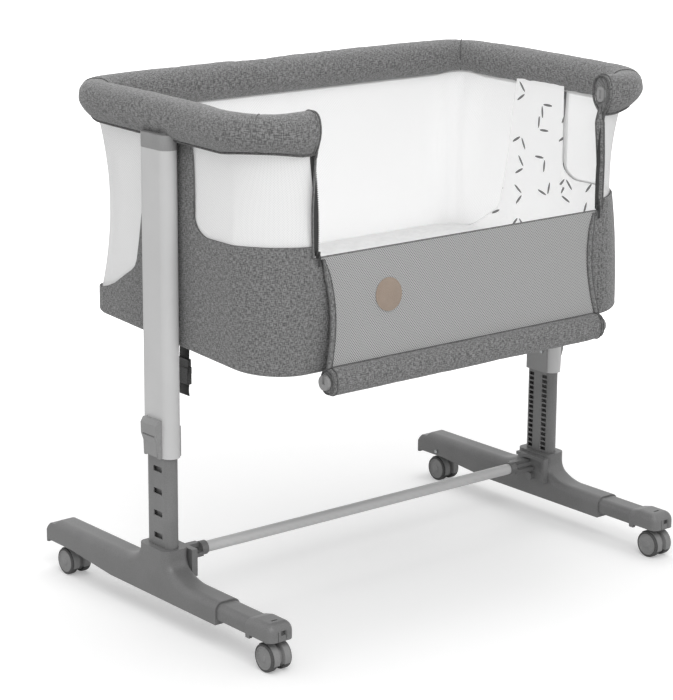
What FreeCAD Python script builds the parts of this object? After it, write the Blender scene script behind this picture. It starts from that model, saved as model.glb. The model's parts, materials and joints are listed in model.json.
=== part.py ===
"""Bedside sleeper crib: two wheeled legs, a height-adjustable cot and a fold-down side.

The frame stands on the floor at z = 0. X runs along the cot, the open bed side
faces -Y, and the origin lies on the floor midway between the two legs.
"""

import FreeCAD
import Part
import math
import os
import Sketcher

from FreeCAD import Placement, Rotation, Vector

# --------------------------------------------------------------------------
# Driving dimensions, in millimetres, degrees or counts
# --------------------------------------------------------------------------
SIZES = {
    # legs on the floor
    "leg_spread": 422,
    "foot_width": 49,
    "foot_wall": 2.8,
    "foot_back_reach": 313.2,
    "foot_mouth_reach": 172,
    "foot_underside": 42,
    "foot_heel_underside": 52.4,
    "foot_crown": 90,
    "foot_mouth_crown": 79,
    "foot_edge_radius": 14,
    "neck_half_length": 39,
    "neck_top": 124,
    "flare_turn": 30,
    "flare_low_radius": 90,
    "flare_high_radius": 20,
    # lower posts with their height slots and racks
    "post_length": 64,
    "post_thickness": 25,
    "post_wall": 2.2,
    "post_web": 2,
    "post_web_shift": 5,
    "post_foot": 56,
    "post_top": 560,
    "height_step": 37.5,
    "height_steps": 4,
    "slot_length": 23,
    "slot_height": 9,
    "rack_pitch": 9,
    "rack_teeth": 16,
    "rack_window_length": 12,
    "rack_window_height": 6.2,
    "rack_offset": 16.5,
    # upper posts
    "tube_length": 74,
    "tube_thickness": 32,
    "tube_wall": 1.8,
    "tube_bottom": 276,
    "tube_top": 772,
    "guide_height": 52,
    "guide_pad": 1.8,
    "slide_gap": 0.25,
    # height levers
    "lever_housing_height": 63,
    "lever_housing_length": 42,
    "lever_housing_depth": 12,
    "lever_housing_toe": 6,
    "lever_shift": 3,
    "lever_frame": 5,
    "lever_pivot_drop": 26,
    "lever_thickness": 4,
    "trunnion_radius": 1.5,
    "latch_length": 20,
    "latch_height": 6,
    # floor stretcher
    "stretcher_height": 101,
    "stretcher_radius": 9.5,
    "stretcher_wall": 1.5,
    "stretcher_set_in": 76,
    "collar_length": 12,
    "collar_radius": 12,
    "prong_height": 7,
    "prong_gap": 6,
    "bracket_length": 72,
    "bracket_height": 46,
    "bracket_depth": 11,
    "bracket_wall": 3,
    "bracket_shift": 8,
    "boss_radius": 7,
    "screw_radius": 3.4,
    # telescopic foot ends
    "extension_underside": 51,
    "extension_inner_reach": 106,
    "extension_wall": 2.2,
    "extension_travel": 66,
    "nose_length": 62,
    "nose_reach": 312,
    "nose_underside": 52.8,
    "nose_heel_underside": 47,
    "nose_crown": 81,
    "nose_corner_radius": 12,
    "nose_front_radius": 16,
    # twin-wheel casters
    "wheel_radius": 23,
    "wheel_width": 14,
    "wheel_gap": 12,
    "wheel_dish": 1.5,
    "tread_edge": 2.5,
    "axle_radius": 3,
    "caster_trail": 8,
    "front_caster_set_in": 31,
    "back_caster_set_in": 39.7,
    "swivel_gap": 0.8,
    "stem_radius": 4,
    "stem_length": 30,
    "stem_flange": 1.5,
    "hood_width": 32,
    "hood_floor_gap": 14,
    "hood_saddle": 18,
    "hood_back": 12,
    "hood_side_gap": 0.4,
    "hood_wall": 0.8,
    "stem_collar_gap": 1.5,
    "turning_gap": 0.05,
    # top rail, with its padding
    "rail_set_in": 11,
    "rail_front": 236,
    "rail_back": 225,
    "rail_height": 820,
    "rail_rise": 6,
    "rail_front_corner": 80,
    "rail_back_corner": 52,
    "rail_tube_radius": 11,
    "rail_tube_wall": 1.5,
    "rail_return": 105.5,
    "padding_half_width": 28,
    "padding_half_height": 32,
    "seam_depth": 2.5,
    "seam_width": 3,
    "seam_shift": 5,
    "cloth_gap": 0.3,
    "saddle_wall": 4,
    # cloth tub and mesh walls
    "tub_set_in": 22,
    "tub_front": 240,
    "tub_back": 226,
    "tub_front_corner": 85,
    "tub_back_corner": 55,
    "tub_cloth": 2.5,
    "tub_bottom_back": 468,
    "tub_bottom_front": 442,
    "tub_floor": 470,
    "window_front_rise": 18,
    "window_back_sill": 509,
    "strip_front": 60,
    "strip_back": 63,
    "strip_drop": 3,
    "mesh_cloth": 1.5,
    "mesh_pull": 45,
    # base frame, board and mattress
    "base_tube_radius": 8,
    "board_thickness": 5,
    "board_inset": 2,
    "mattress_top": 525,
    "mattress_crown": 9,
    "mattress_inset": 4,
    "channel_pitch": 90,
    "channel_radius": 7,
    "channel_depth": 2,
    # fold-down side
    "fold_height": 623,
    "fold_bar_radius": 4,
    "fold_gap": 1.6,
    "panel_set_in": 11.5,
    "panel_cloth": 2,
    "side_bar_radius": 8,
    "side_bar_wall": 1.2,
    "sleeve_half_width": 17,
    "sleeve_half_height": 22,
    "connector_radius": 12,
    "connector_stub_radius": 8,
    "connector_set_in": 4,
    "connector_disc": 6,
    "badge_radius": 27,
    "badge_thickness": 1.2,
    # end plugs, zips and bed straps
    "plug_half_width": 8,
    "plug_half_height": 13,
    "plug_proud": 2.5,
    "zip_width": 8,
    "zip_thickness": 2,
    "zip_bow": 4,
    "strap_width": 25,
    "strap_thickness": 1.6,
    "strap_set_in": 54,
    "strap_shift": 12,
    "strap_drop": 42,
    "buckle_height": 44,
    "buckle_thickness": 9,
    "strap_tail": 18,
}

# Sizes that keep their distance from another size: each is the first less the second,
# or their sum where the third word says so
TIES = {
    "stretcher_half_length": ("leg_spread", "stretcher_set_in", "less"),
    "nose_start": ("nose_reach", "nose_length", "less"),
    "front_caster_reach": ("nose_reach", "front_caster_set_in", "less"),
    "back_caster_reach": ("foot_back_reach", "back_caster_set_in", "less"),
    "rail_half_length": ("leg_spread", "rail_set_in", "less"),
    "rail_opening": ("rail_half_length", "rail_return", "less"),
    "tub_half_length": ("leg_spread", "tub_set_in", "less"),
    "window_front_sill": ("fold_height", "window_front_rise", "plus"),
    "panel_half_length": ("rail_opening", "panel_set_in", "less"),
    "connector_reach": ("rail_opening", "connector_set_in", "less"),
    "strap_spread": ("leg_spread", "strap_set_in", "less"),
}


# --------------------------------------------------------------------------
# Sizes that carry both their number and their spreadsheet expression
# --------------------------------------------------------------------------
class Size:
    """A length that knows its value and the expression that gives it."""

    def __init__(self, value, text):
        self.value = value
        self.text = text

    @staticmethod
    def of(other):
        """Return other as a Size."""
        if isinstance(other, Size):
            return other
        return Size(other, repr(other))

    def __add__(self, other):
        other = Size.of(other)
        return Size(self.value + other.value, f"({self.text} + {other.text})")

    def __sub__(self, other):
        other = Size.of(other)
        return Size(self.value - other.value, f"({self.text} - {other.text})")

    def __mul__(self, other):
        other = Size.of(other)
        return Size(self.value * other.value, f"({self.text} * {other.text})")

    def __truediv__(self, other):
        other = Size.of(other)
        return Size(self.value / other.value, f"({self.text} / {other.text})")

    def __neg__(self):
        return self * -1

    __radd__ = __add__
    __rmul__ = __mul__

    def __rsub__(self, other):
        return Size.of(other) - self


def sine(angle):
    """Sine of a Size in degrees."""
    return Size(math.sin(math.radians(angle.value)), f"sin({angle.text} * 1 deg)")


def cosine(angle):
    """Cosine of a Size in degrees."""
    return Size(math.cos(math.radians(angle.value)), f"cos({angle.text} * 1 deg)")


class Sheet:
    """The driving spreadsheet; each alias reads back as a Size."""

    def __init__(self, document, sizes):
        self.cells = document.addObject("Spreadsheet::Sheet", "Sizes")
        self.numbers = dict(sizes)
        for row, (alias, value) in enumerate(sizes.items(), start=1):
            self.cells.set(f"A{row}", alias)
            self.cells.set(f"B{row}", str(value))
            self.cells.setAlias(f"B{row}", alias)
        document.recompute()

    def __getattr__(self, alias):
        if alias in TIES:
            first, second, way = TIES[alias]
            base, change = getattr(self, first), getattr(self, second)
            return base - change if way == "less" else base + change
        return Size(self.numbers[alias], f"Sizes.{alias}")


doc = FreeCAD.newDocument("bedside_crib")
s = Sheet(doc, SIZES)
pieces = {}
counter = {}


# --------------------------------------------------------------------------
# Small building blocks
# --------------------------------------------------------------------------
def fresh(name):
    """Give each helper object its own internal name."""
    counter[name] = counter.get(name, 0) + 1
    return f"{name}_{counter[name]}"


def bind(thing, path, size):
    """Set a property from a Size by expression, or from a plain number."""
    thing.setExpression(path, Size.of(size).text)


def put(thing, x, y, z, rotation=None):
    """Place an object, with each coordinate bound to its expression."""
    corner = [Size.of(value) for value in (x, y, z)]
    thing.Placement = Placement(Vector(*[c.value for c in corner]), rotation or Rotation())
    for axis, value in zip("xyz", corner):
        bind(thing, f"Placement.Base.{axis}", value)


def block(centre, size):
    """A box given by its centre and its three sizes."""
    box = doc.addObject("Part::Box", fresh("Block"))
    for prop, value in zip(("Length", "Width", "Height"), size):
        bind(box, prop, value)
    put(box, *[c - Size.of(length) / 2 for c, length in zip(map(Size.of, centre), size)])
    return box


def rod(centre, radius, length, axis="Z"):
    """A cylinder given by its centre, along one axis."""
    turned = {
        "X": Rotation(Vector(0, 1, 0), 90),
        "Y": Rotation(Vector(1, 0, 0), -90),
        "Z": Rotation(),
    }[axis]
    cylinder = doc.addObject("Part::Cylinder", fresh("Rod"))
    bind(cylinder, "Radius", radius)
    bind(cylinder, "Height", length)
    start = [Size.of(value) for value in centre]
    place = "XYZ".index(axis)
    start[place] = start[place] - Size.of(length) / 2
    put(cylinder, *start, rotation=turned)
    return cylinder


def joined(*shapes):
    """Fuse shapes into one solid."""
    fuse = doc.addObject("Part::MultiFuse", fresh("Joined"))
    fuse.Shapes = list(shapes)
    return fuse


def carved(base, *tools):
    """Cut tools from a base."""
    cut = doc.addObject("Part::Cut", fresh("Carved"))
    cut.Base = base
    cut.Tool = tools[0] if len(tools) == 1 else joined(*tools)
    return cut


def group(*shapes):
    """Several separate solids of one node."""
    bundle = doc.addObject("Part::Compound", fresh("Group"))
    bundle.Links = list(shapes)
    return bundle


def computed(shape, name="Shaped"):
    """A shape worked out from the sheet's numbers in code."""
    feature = doc.addObject("Part::Feature", fresh(name))
    feature.Shape = shape
    return feature


def finish(label, thing):
    """Register a piece under its node name."""
    thing.Label = label
    pieces[label] = thing
    return thing


def origin_plane(body, role):
    """Find one of a body's own origin planes."""
    return next(f for f in body.Origin.OriginFeatures if f.Role == role)


def sketch_on(body, plane, offset=0):
    """A sketch on one of the body's origin planes, lifted along its normal."""
    sketch = body.newObject("Sketcher::SketchObject", fresh("Sketch"))
    sketch.AttachmentSupport = [(origin_plane(body, f"{plane}_Plane"), "")]
    sketch.MapMode = "FlatFace"
    bind(sketch, "AttachmentOffset.Base.z", offset)
    return sketch


def flat(point):
    """A sketch point from two Sizes."""
    return Vector(Size.of(point[0]).value, Size.of(point[1]).value, 0)


def draw(sketch, outline):
    """Draw a closed outline; every corner and radius is bound to its expression.

    Each corner is (u, v), or (u, v, radius) where the line that leads to it is an
    arc that turns left, or right where the radius is negative.
    """
    count = len(outline)
    ends = []
    for index in range(count):
        here, there = outline[index - 1], outline[index]
        start, end = flat(here), flat(there)
        if len(there) == 2:
            line = sketch.addGeometry(Part.LineSegment(start, end), False)
            ends.append((line, 1, 2))
            continue
        radius = Size.of(there[2]).value
        chord = end - start
        across = Vector(-chord.y, chord.x, 0).normalize()
        reach = math.sqrt(max(radius**2 - (chord.Length / 2) ** 2, 0))
        side = 1 if radius > 0 else -1
        centre = (start + end) * 0.5 + across * reach * side
        first, last = (start, end) if radius > 0 else (end, start)
        begin = math.atan2(first.y - centre.y, first.x - centre.x)
        stop = math.atan2(last.y - centre.y, last.x - centre.x)
        circle = Part.Circle(centre, Vector(0, 0, 1), abs(radius))
        arc = sketch.addGeometry(Part.ArcOfCircle(circle, begin, stop), False)
        ends.append((arc, 1, 2) if radius > 0 else (arc, 2, 1))
        if reach < 0.001:
            level = 1 if abs(chord.y) < abs(chord.x) else 0
            kind = ("DistanceX", "DistanceY")[level]
            rule = sketch.addConstraint(
                Sketcher.Constraint(kind, -1, 1, arc, 3, Size.of(here[level]).value)
            )
            bind(sketch, f"Constraints[{rule}]", here[level])
            continue
        rule = sketch.addConstraint(Sketcher.Constraint("Radius", arc, abs(radius)))
        size = Size.of(there[2])
        bind(sketch, f"Constraints[{rule}]", size if radius > 0 else -size)
    for index in range(count):
        after = ends[(index + 1) % count]
        geometry, _, tail = ends[index]
        sketch.addConstraint(Sketcher.Constraint("Coincident", geometry, tail, after[0], after[1]))
        for kind, value in zip(("DistanceX", "DistanceY"), outline[index]):
            number = Size.of(value).value
            rule = sketch.addConstraint(
                Sketcher.Constraint(kind, -1, 1, geometry, tail, number)
            )
            bind(sketch, f"Constraints[{rule}]", value)


def pad(plane, outline, low, high, body=None):
    """A body padded from low to high along the plane's axis."""
    body = body or doc.addObject("PartDesign::Body", fresh("Body"))
    low, high = Size.of(low), Size.of(high)
    start = -high if plane == "XZ" else low
    sketch = sketch_on(body, plane, start)
    draw(sketch, outline)
    feature = body.newObject("PartDesign::Pad", fresh("Pad"))
    feature.Profile = sketch
    bind(feature, "Length", high - low)
    doc.recompute()
    return body


def pocket(body, plane, outline, low, high):
    """Cut an outline out of a body between low and high along the plane's axis."""
    low, high = Size.of(low), Size.of(high)
    start = -high if plane == "XZ" else low
    sketch = sketch_on(body, plane, start)
    draw(sketch, outline)
    before = body.Shape.Volume
    feature = body.newObject("PartDesign::Pocket", fresh("Pocket"))
    feature.Profile = sketch
    feature.Reversed = True
    bind(feature, "Length", high - low)
    doc.recompute()
    if body.Shape.Volume >= before:
        raise RuntimeError(f"{feature.Name} cuts nothing")
    return body


def turned(outline, centre):
    """A body turned about the X axis through its centre, from (x, radius) corners."""
    body = doc.addObject("PartDesign::Body", fresh("Body"))
    sketch = sketch_on(body, "XZ")
    draw(sketch, outline)
    feature = body.newObject("PartDesign::Revolution", fresh("Revolution"))
    feature.Profile = sketch
    feature.ReferenceAxis = (sketch, ["H_Axis"])
    feature.Angle = 360
    put(body, *centre)
    doc.recompute()
    return body


def round_edges(body, radius, pick):
    """Round the edges of a body that pick() accepts."""
    names = [f"Edge{i}" for i, edge in enumerate(body.Shape.Edges, start=1) if pick(edge)]
    tip = body.Tip
    feature = body.newObject("PartDesign::Fillet", fresh("Fillet"))
    feature.Base = (tip, names)
    bind(feature, "Radius", radius)
    doc.recompute()
    return body


def stadium(length, thickness, x=0):
    """Outline of a flat post with round ends, long way along Y, in the XY plane."""
    half = thickness / 2
    straight = length / 2 - half
    return [
        (x + half, straight),
        (x - half, straight, half),
        (x - half, -straight),
        (x + half, -straight, half),
    ]


def arch(half_width, low, high, radius, x=0):
    """Outline with a flat bottom and two rounded top corners, in the XZ plane."""
    return [
        (x - half_width, low),
        (x + half_width, low),
        (x + half_width, high - radius),
        (x + half_width - radius, high, radius),
        (x - half_width + radius, high),
        (x - half_width, high - radius, radius),
    ]


def rectangle(low_u, high_u, low_v, high_v):
    """Four corners of a rectangle."""
    return [(low_u, low_v), (high_u, low_v), (high_u, high_v), (low_u, high_v)]


# --------------------------------------------------------------------------
# Numeric wires for cloth, padding and bent tubes
# --------------------------------------------------------------------------
def rounded_wire(corners, closed=True):
    """A wire through corners (vector, radius), with a tangent arc at each one."""
    count = len(corners)
    spans = []
    for index, (corner, radius) in enumerate(corners):
        ends = not closed and index in (0, count - 1)
        if radius <= 0 or ends:
            spans.append((corner, corner, None))
            continue
        before = (corners[index - 1][0] - corner).normalize()
        after = (corners[(index + 1) % count][0] - corner).normalize()
        half = before.getAngle(after) / 2
        back = radius / math.tan(half)
        bisector = (before + after).normalize()
        middle = corner + bisector * (radius / math.sin(half) - radius)
        spans.append((corner + before * back, corner + after * back, middle))
    edges = []
    for index, (start, end, middle) in enumerate(spans):
        if middle is not None:
            edges.append(Part.Arc(start, middle, end).toShape())
        if index == count - 1 and not closed:
            break
        following = spans[(index + 1) % count][0]
        if (following - end).Length > 1e-6:
            edges.append(Part.LineSegment(end, following).toShape())
    return Part.Wire(edges)


def plan_wire(half_x, front, back, front_radius, back_radius, z):
    """A rounded rectangle in plan; front lies at -Y."""
    corners = [
        (Vector(-half_x, -front, z), front_radius),
        (Vector(half_x, -front, z), front_radius),
        (Vector(half_x, back, z), back_radius),
        (Vector(-half_x, back, z), back_radius),
    ]
    return rounded_wire(corners)


def prism(wire, travel):
    """Extrude a closed wire along a vector."""
    return Part.Face(wire).extrude(travel)


def side_prism(profile, half_x):
    """Extrude a profile of (y, z, radius) corners along the whole length."""
    corners = [(Vector(-half_x, y, z), radius) for y, z, radius in profile]
    return prism(rounded_wire(corners), Vector(2 * half_x, 0, 0))


def box_between(low, high):
    """A box between two corners."""
    size = [b - a for a, b in zip(low, high)]
    return Part.makeBox(*size, Vector(*low))


# --------------------------------------------------------------------------
# Legs
# --------------------------------------------------------------------------
def foot_shell(side):
    """A moulded foot with its flared neck, open mouth and hollow underside."""
    x = side * s.leg_spread
    half = s.foot_width / 2
    wall = s.foot_wall
    low_run = s.flare_low_radius * sine(s.flare_turn)
    low_rise = s.flare_low_radius * (1 - cosine(s.flare_turn))
    high_run = s.flare_high_radius * (1 - sine(s.flare_turn))
    high_rise = s.flare_high_radius * cosine(s.flare_turn)
    root = s.neck_half_length + high_run + low_run
    knee = s.neck_half_length + high_run
    shoulder = s.foot_crown + low_rise
    throat = shoulder + high_rise
    front_shoulder = s.foot_mouth_crown + low_rise
    front_throat = front_shoulder + high_rise
    heel_start = s.back_caster_reach - 31
    outline = [
        (-s.foot_mouth_reach, s.foot_underside),
        (s.foot_mouth_reach - 52, s.foot_underside),
        (heel_start, s.foot_heel_underside),
        (s.foot_back_reach - 6, s.foot_heel_underside),
        (s.foot_back_reach - 5, s.foot_heel_underside - 4),
        (s.foot_back_reach, s.foot_heel_underside - 4),
        (s.foot_back_reach, s.foot_crown),
        (root, s.foot_crown),
        (knee, shoulder, -s.flare_low_radius),
        (s.neck_half_length, throat, -s.flare_high_radius),
        (s.neck_half_length, s.neck_top),
        (-s.neck_half_length, s.neck_top),
        (-s.neck_half_length, front_throat),
        (-knee, front_shoulder, -s.flare_high_radius),
        (-root, s.foot_mouth_crown, -s.flare_low_radius),
        (-s.foot_mouth_reach, s.foot_mouth_crown),
    ]
    body = pad("YZ", outline, x - half, x + half)

    def on_top(edge):
        centre = edge.CenterOfMass
        on_side = abs(abs(centre.x - x.value) - half.value) < 0.01
        box = edge.BoundBox
        level = box.ZMax - box.ZMin < 0.01
        if not on_side or centre.z < s.foot_mouth_crown.value - 0.5:
            return False
        return not (level and abs(centre.y) < s.neck_half_length.value)

    round_edges(body, s.foot_edge_radius, on_top)
    # the stepped notch over the heel
    end = s.foot_back_reach
    notch = [
        (end - 27, s.foot_crown + 1),
        (end - 23, s.foot_crown - 6),
        (end - 10, s.foot_crown - 7),
        (end - 3, s.foot_crown - 15),
        (end + 1, s.foot_crown - 22),
        (end + 1, s.foot_crown + 1),
    ]
    pocket(body, "YZ", notch, x - half - 1, x + half + 1)
    # socket of the lower post
    gap = s.cloth_gap
    socket = stadium(s.post_length + gap * 2, s.post_thickness + gap * 2, x)
    pocket(body, "XY", socket, s.post_foot, s.neck_top + 1)
    # bore of the telescopic end
    bore = arch(
        half - wall,
        s.extension_underside - gap,
        s.foot_mouth_crown - wall,
        s.foot_edge_radius - wall,
        x,
    )
    bore_end = s.extension_inner_reach - s.extension_travel - 2
    pocket(body, "XZ", bore, -s.foot_mouth_reach - 1, -bore_end)
    # hollow underside behind the neck
    hollow = rectangle(x - half + wall, x + half - wall, root, heel_start - 12)
    hollow_top = s.foot_crown - s.foot_edge_radius
    pocket(body, "XY", hollow, s.foot_underside - 1, hollow_top)
    stem = rod(
        (x, s.back_caster_reach, s.foot_heel_underside + s.stem_length / 2 - 2),
        s.stem_radius + s.turning_gap,
        s.stem_length,
    )
    return carved(body, stem)


def lower_post(side):
    """The fixed post: a hollow flat tube with height slots and two racks."""
    x = side * s.leg_spread
    body = pad("XY", stadium(s.post_length, s.post_thickness, x), s.post_foot, s.post_top)
    inner = stadium(s.post_length - s.post_wall * 2, s.post_thickness - s.post_wall * 2, x)
    pocket(body, "XY", inner, s.post_foot + s.post_wall, s.post_top + 1)
    tools = []
    latch_z = latch_height()
    outer_x = x + side * (s.post_thickness / 2)
    for step in range(int(s.height_steps.value) + 1):
        z = latch_z - s.height_step * step
        size = (s.post_wall * 3, s.slot_length, s.slot_height)
        tools.append(block((outer_x, -s.lever_shift, z), size))
    inner_x = x - side * (s.post_thickness / 2)
    for row in (-1, 1):
        for tooth in range(int(s.rack_teeth.value)):
            z = s.neck_top + s.rack_pitch * (tooth + 0.8)
            size = (s.post_wall * 3, s.rack_window_length, s.rack_window_height)
            tools.append(block((inner_x, s.rack_offset * row, z), size))
    web = block(
        (x + side * s.post_web_shift, 0, (s.post_foot + s.post_top) / 2),
        (s.post_web, s.post_length - s.post_wall * 2.3, s.post_top - s.post_foot),
    )
    return carved(joined(body, web), *tools)


def latch_height():
    """Height of the latch and of the slot that it meets at the top setting."""
    return s.tube_bottom + 15.5


def stretcher_fork(side):
    """Collar and two prongs at the end of the stretcher."""
    start = s.stretcher_half_length - s.collar_length / 2
    bracket_face = s.leg_spread - s.foot_width / 2 - s.bracket_wall
    collar_end = start + s.collar_length
    ring = rod(
        (side * (start + s.collar_length / 2), 0, s.stretcher_height),
        s.collar_radius,
        s.collar_length,
        "X",
    )
    seat = rod(
        (side * (start + s.collar_length / 4), 0, s.stretcher_height),
        s.stretcher_radius,
        s.collar_length / 2,
        "X",
    )
    length = bracket_face - collar_end + 1
    prongs = []
    for level in (-1, 1):
        z = s.stretcher_height + (s.prong_gap + s.prong_height) / 2 * level
        centre = (side * (bracket_face - length / 2), s.prong_gap * level, z)
        prongs.append(block(centre, (length, s.collar_radius, s.prong_height)))
    return carved(joined(ring, *prongs), seat)


def stretcher_bracket(side):
    """Rimmed bracket on the inside of the foot, with its screw boss."""
    face = s.leg_spread - s.foot_width / 2
    low = s.stretcher_height - s.bracket_height / 2 - 4
    high = low + s.bracket_height
    front = -s.bracket_shift - s.bracket_length / 2
    back = front + s.bracket_length
    size = (s.bracket_depth, s.bracket_length, s.bracket_height)
    middle = (front + back) / 2
    shell = block((side * (face - s.bracket_depth / 2), middle, (low + high) / 2), size)
    hollow_depth = s.bracket_depth - s.bracket_wall
    rim = s.bracket_wall * 2
    recess = block(
        (side * (face - s.bracket_wall - hollow_depth), middle + rim, (low + high) / 2 - rim),
        (hollow_depth * 2, s.bracket_length, s.bracket_height),
    )
    boss = rod(
        (side * (face - s.bracket_depth / 2), -s.bracket_shift + 2, low + 6),
        s.boss_radius,
        s.bracket_depth,
        "X",
    )
    hole = rod(
        (side * (face - s.bracket_depth / 2), -s.bracket_shift + 2, low + 6),
        s.screw_radius + s.cloth_gap,
        s.bracket_depth - s.bracket_wall,
        "X",
    )
    return carved(joined(carved(shell, recess), boss), hole)


def bracket_screws():
    """One pan-head screw in each bracket boss and one in each foot heel."""
    screws = []
    low = s.stretcher_height - s.bracket_height / 2 - 4
    for side in (-1, 1):
        face = s.leg_spread - s.foot_width / 2
        head = s.bracket_wall
        x = side * (face - s.bracket_wall - head / 2)
        screws.append(rod((x, -s.bracket_shift + 2, low + 6), s.screw_radius, head, "X"))
        heel_x = side * (face - head / 2)
        heel_y = s.back_caster_reach - 15
        heel_z = s.foot_heel_underside + 8
        screws.append(rod((heel_x, heel_y, heel_z), s.screw_radius, head, "X"))
    return group(*screws)


def build_base():
    """Everything that stands still: feet, lower posts and stretcher."""
    for side, name in ((-1, "left"), (1, "right")):
        finish(f"{name}_foot_shell", foot_shell(side))
        finish(f"{name}_lower_post", lower_post(side))
        finish(f"{name}_stretcher_fork", stretcher_fork(side))
        finish(f"{name}_stretcher_bracket", stretcher_bracket(side))
    length = s.stretcher_half_length * 2
    tube = rod((0, 0, s.stretcher_height), s.stretcher_radius, length, "X")
    bore = rod((0, 0, s.stretcher_height), s.stretcher_radius - s.stretcher_wall, length, "X")
    finish("stretcher_tube", carved(tube, bore))
    finish("bracket_screws", bracket_screws())


# --------------------------------------------------------------------------
# Telescopic foot ends
# --------------------------------------------------------------------------
def extension_tube(side):
    """The sliding inner tube of a foot."""
    x = side * s.leg_spread
    gap = s.slide_gap
    half = s.foot_width / 2 - s.foot_wall - gap
    high = s.foot_mouth_crown - s.foot_wall - gap
    radius = s.foot_edge_radius - s.foot_wall - gap
    outer = arch(half, s.extension_underside, high, radius, x)
    body = pad("XZ", outer, -s.nose_start, -s.extension_inner_reach)
    wall = s.extension_wall
    inner = arch(half - wall, s.extension_underside + wall, high - wall, radius - wall, x)
    return pocket(body, "XZ", inner, -s.nose_start - 1, -s.extension_inner_reach + 1)


def extension_nose(side):
    """The larger end housing that holds the front caster."""
    x = side * s.leg_spread
    half = s.foot_width / 2
    start, end = s.nose_start, s.nose_reach
    lip = s.front_caster_reach - s.wheel_gap / 2 - s.wheel_width - 0.8
    outline = [
        (-end, s.nose_underside),
        (-lip, s.nose_underside),
        (-lip + 0.5, s.nose_heel_underside),
        (-start, s.nose_heel_underside),
        (-start, s.nose_crown - 4),
        (-start - 16, s.nose_crown),
        (-end + s.nose_front_radius, s.nose_crown),
        (-end, s.nose_crown - s.nose_front_radius, s.nose_front_radius),
    ]
    body = pad("YZ", outline, x - half, x + half)

    def outer_edge(edge):
        box = edge.BoundBox
        on_side = abs(abs(box.Center.x - x.value) - half.value) < 0.01 and box.XLength < 0.01
        on_front = abs(box.YMin + end.value) < 0.01 and box.ZLength > 10
        return on_side and (on_front or box.ZMin > s.nose_crown.value - 5)

    round_edges(body, s.nose_corner_radius, outer_edge)
    finger_slot = block((x, -end + 21, s.nose_crown), (12, 3.5, 8))
    front_hole = block((x + 2, -end, s.nose_crown - 15), (9, 10, 7))
    grooves = [
        block((x + 8 * edge, -end, (s.nose_underside + s.nose_crown) / 2 - 12), (1.2, 2, 30))
        for edge in (-1, 1)
    ]
    stem = rod(
        (x, -s.front_caster_reach, s.nose_underside + s.stem_length / 2 - 3),
        s.stem_radius + s.turning_gap,
        s.stem_length,
    )
    wheel_side = s.wheel_gap.value / 2 + s.wheel_width.value
    wheel_end = s.caster_trail.value + s.wheel_radius.value / 2
    swing = math.hypot(wheel_side, wheel_end) + s.swivel_gap.value
    recess = rod((x, -s.front_caster_reach, s.nose_underside - 10), swing, 20)
    return carved(body, finger_slot, front_hole, stem, recess, *grooves)


def build_extensions():
    """Both telescopic ends."""
    for side, name in ((-1, "left"), (1, "right")):
        finish(f"{name}_extension_tube", extension_tube(side))
        finish(f"{name}_extension_nose", extension_nose(side))


# --------------------------------------------------------------------------
# Casters
# --------------------------------------------------------------------------
def wheel(x, outward, wheel_y):
    """One wheel: a tread with a dished face, and its cap over the axle's end."""
    width, radius, edge = s.wheel_width, s.wheel_radius, s.tread_edge
    dish = width - s.wheel_dish
    outline = [
        (0, s.axle_radius + s.turning_gap),
        (dish, s.axle_radius + s.turning_gap),
        (dish, radius * 0.3),
        (dish, radius * 0.7),
        (width, radius * 0.76),
        (width, radius * 0.86),
        (width - edge, radius - edge / 4),
        (width - edge * 2, radius),
        (edge * 2, radius),
        (edge, radius - edge / 4),
        (0, radius * 0.8),
    ]
    if outward < 0:
        outline = [(-Size.of(u), v) for u, v in outline[::-1]]
    start = x + outward * (s.wheel_gap / 2)
    body = turned(outline, (start, wheel_y, s.wheel_radius))
    cap_x = start + outward * (dish + s.wheel_dish / 2)
    cap = rod((cap_x, wheel_y, s.wheel_radius), radius * 0.3, s.wheel_dish, "X")
    return joined(body, cap)


def caster_hood(x, stem_y, wheel_y):
    """Saddle between the wheels whose rims reach over the treads."""
    web = s.wheel_gap / 2 - s.hood_side_gap
    rim_low = s.wheel_radius + s.hood_side_gap
    rim_high = rim_low + s.hood_wall
    cheek = web - s.hood_wall
    half = s.hood_width / 2
    outline = [
        (-half, rim_low),
        (-web, rim_low),
        (-web, s.axle_radius),
        (web, s.axle_radius),
        (web, rim_low),
        (half, rim_low),
        (half, rim_high),
        (cheek, rim_high),
        (cheek - 2, s.hood_saddle),
        (-cheek + 2, s.hood_saddle),
        (-cheek, rim_high),
        (-half, rim_high),
    ]
    axle = s.wheel_radius
    spool = turned(outline, (x, wheel_y, axle))
    sector = [
        (wheel_y - s.wheel_radius * 1.3, s.hood_floor_gap),
        (wheel_y - s.axle_radius * 2, s.hood_floor_gap),
        (wheel_y + s.hood_back, axle - 3),
        (wheel_y + s.hood_back * 1.4, axle * 2.3),
        (wheel_y - s.wheel_radius * 1.3, axle * 2.3),
    ]
    keep = pad("YZ", sector, x - half - 1, x + half + 1)
    part = doc.addObject("Part::MultiCommon", fresh("Common"))
    part.Shapes = [spool, keep]
    boss = rod((x, stem_y, axle + 3), web, s.hood_back * 1.2)
    axle_hole = rod((x, wheel_y, axle), s.axle_radius, s.hood_width, "X")
    seat = rod((x, stem_y, axle + 4 + s.stem_length / 2), s.stem_radius, s.stem_length)
    well = rod(
        (x, stem_y, axle + s.hood_saddle * 1.5),
        s.stem_radius + s.stem_flange + s.hood_side_gap,
        s.hood_saddle,
    )
    return carved(joined(part, boss), axle_hole, seat, well)


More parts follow.
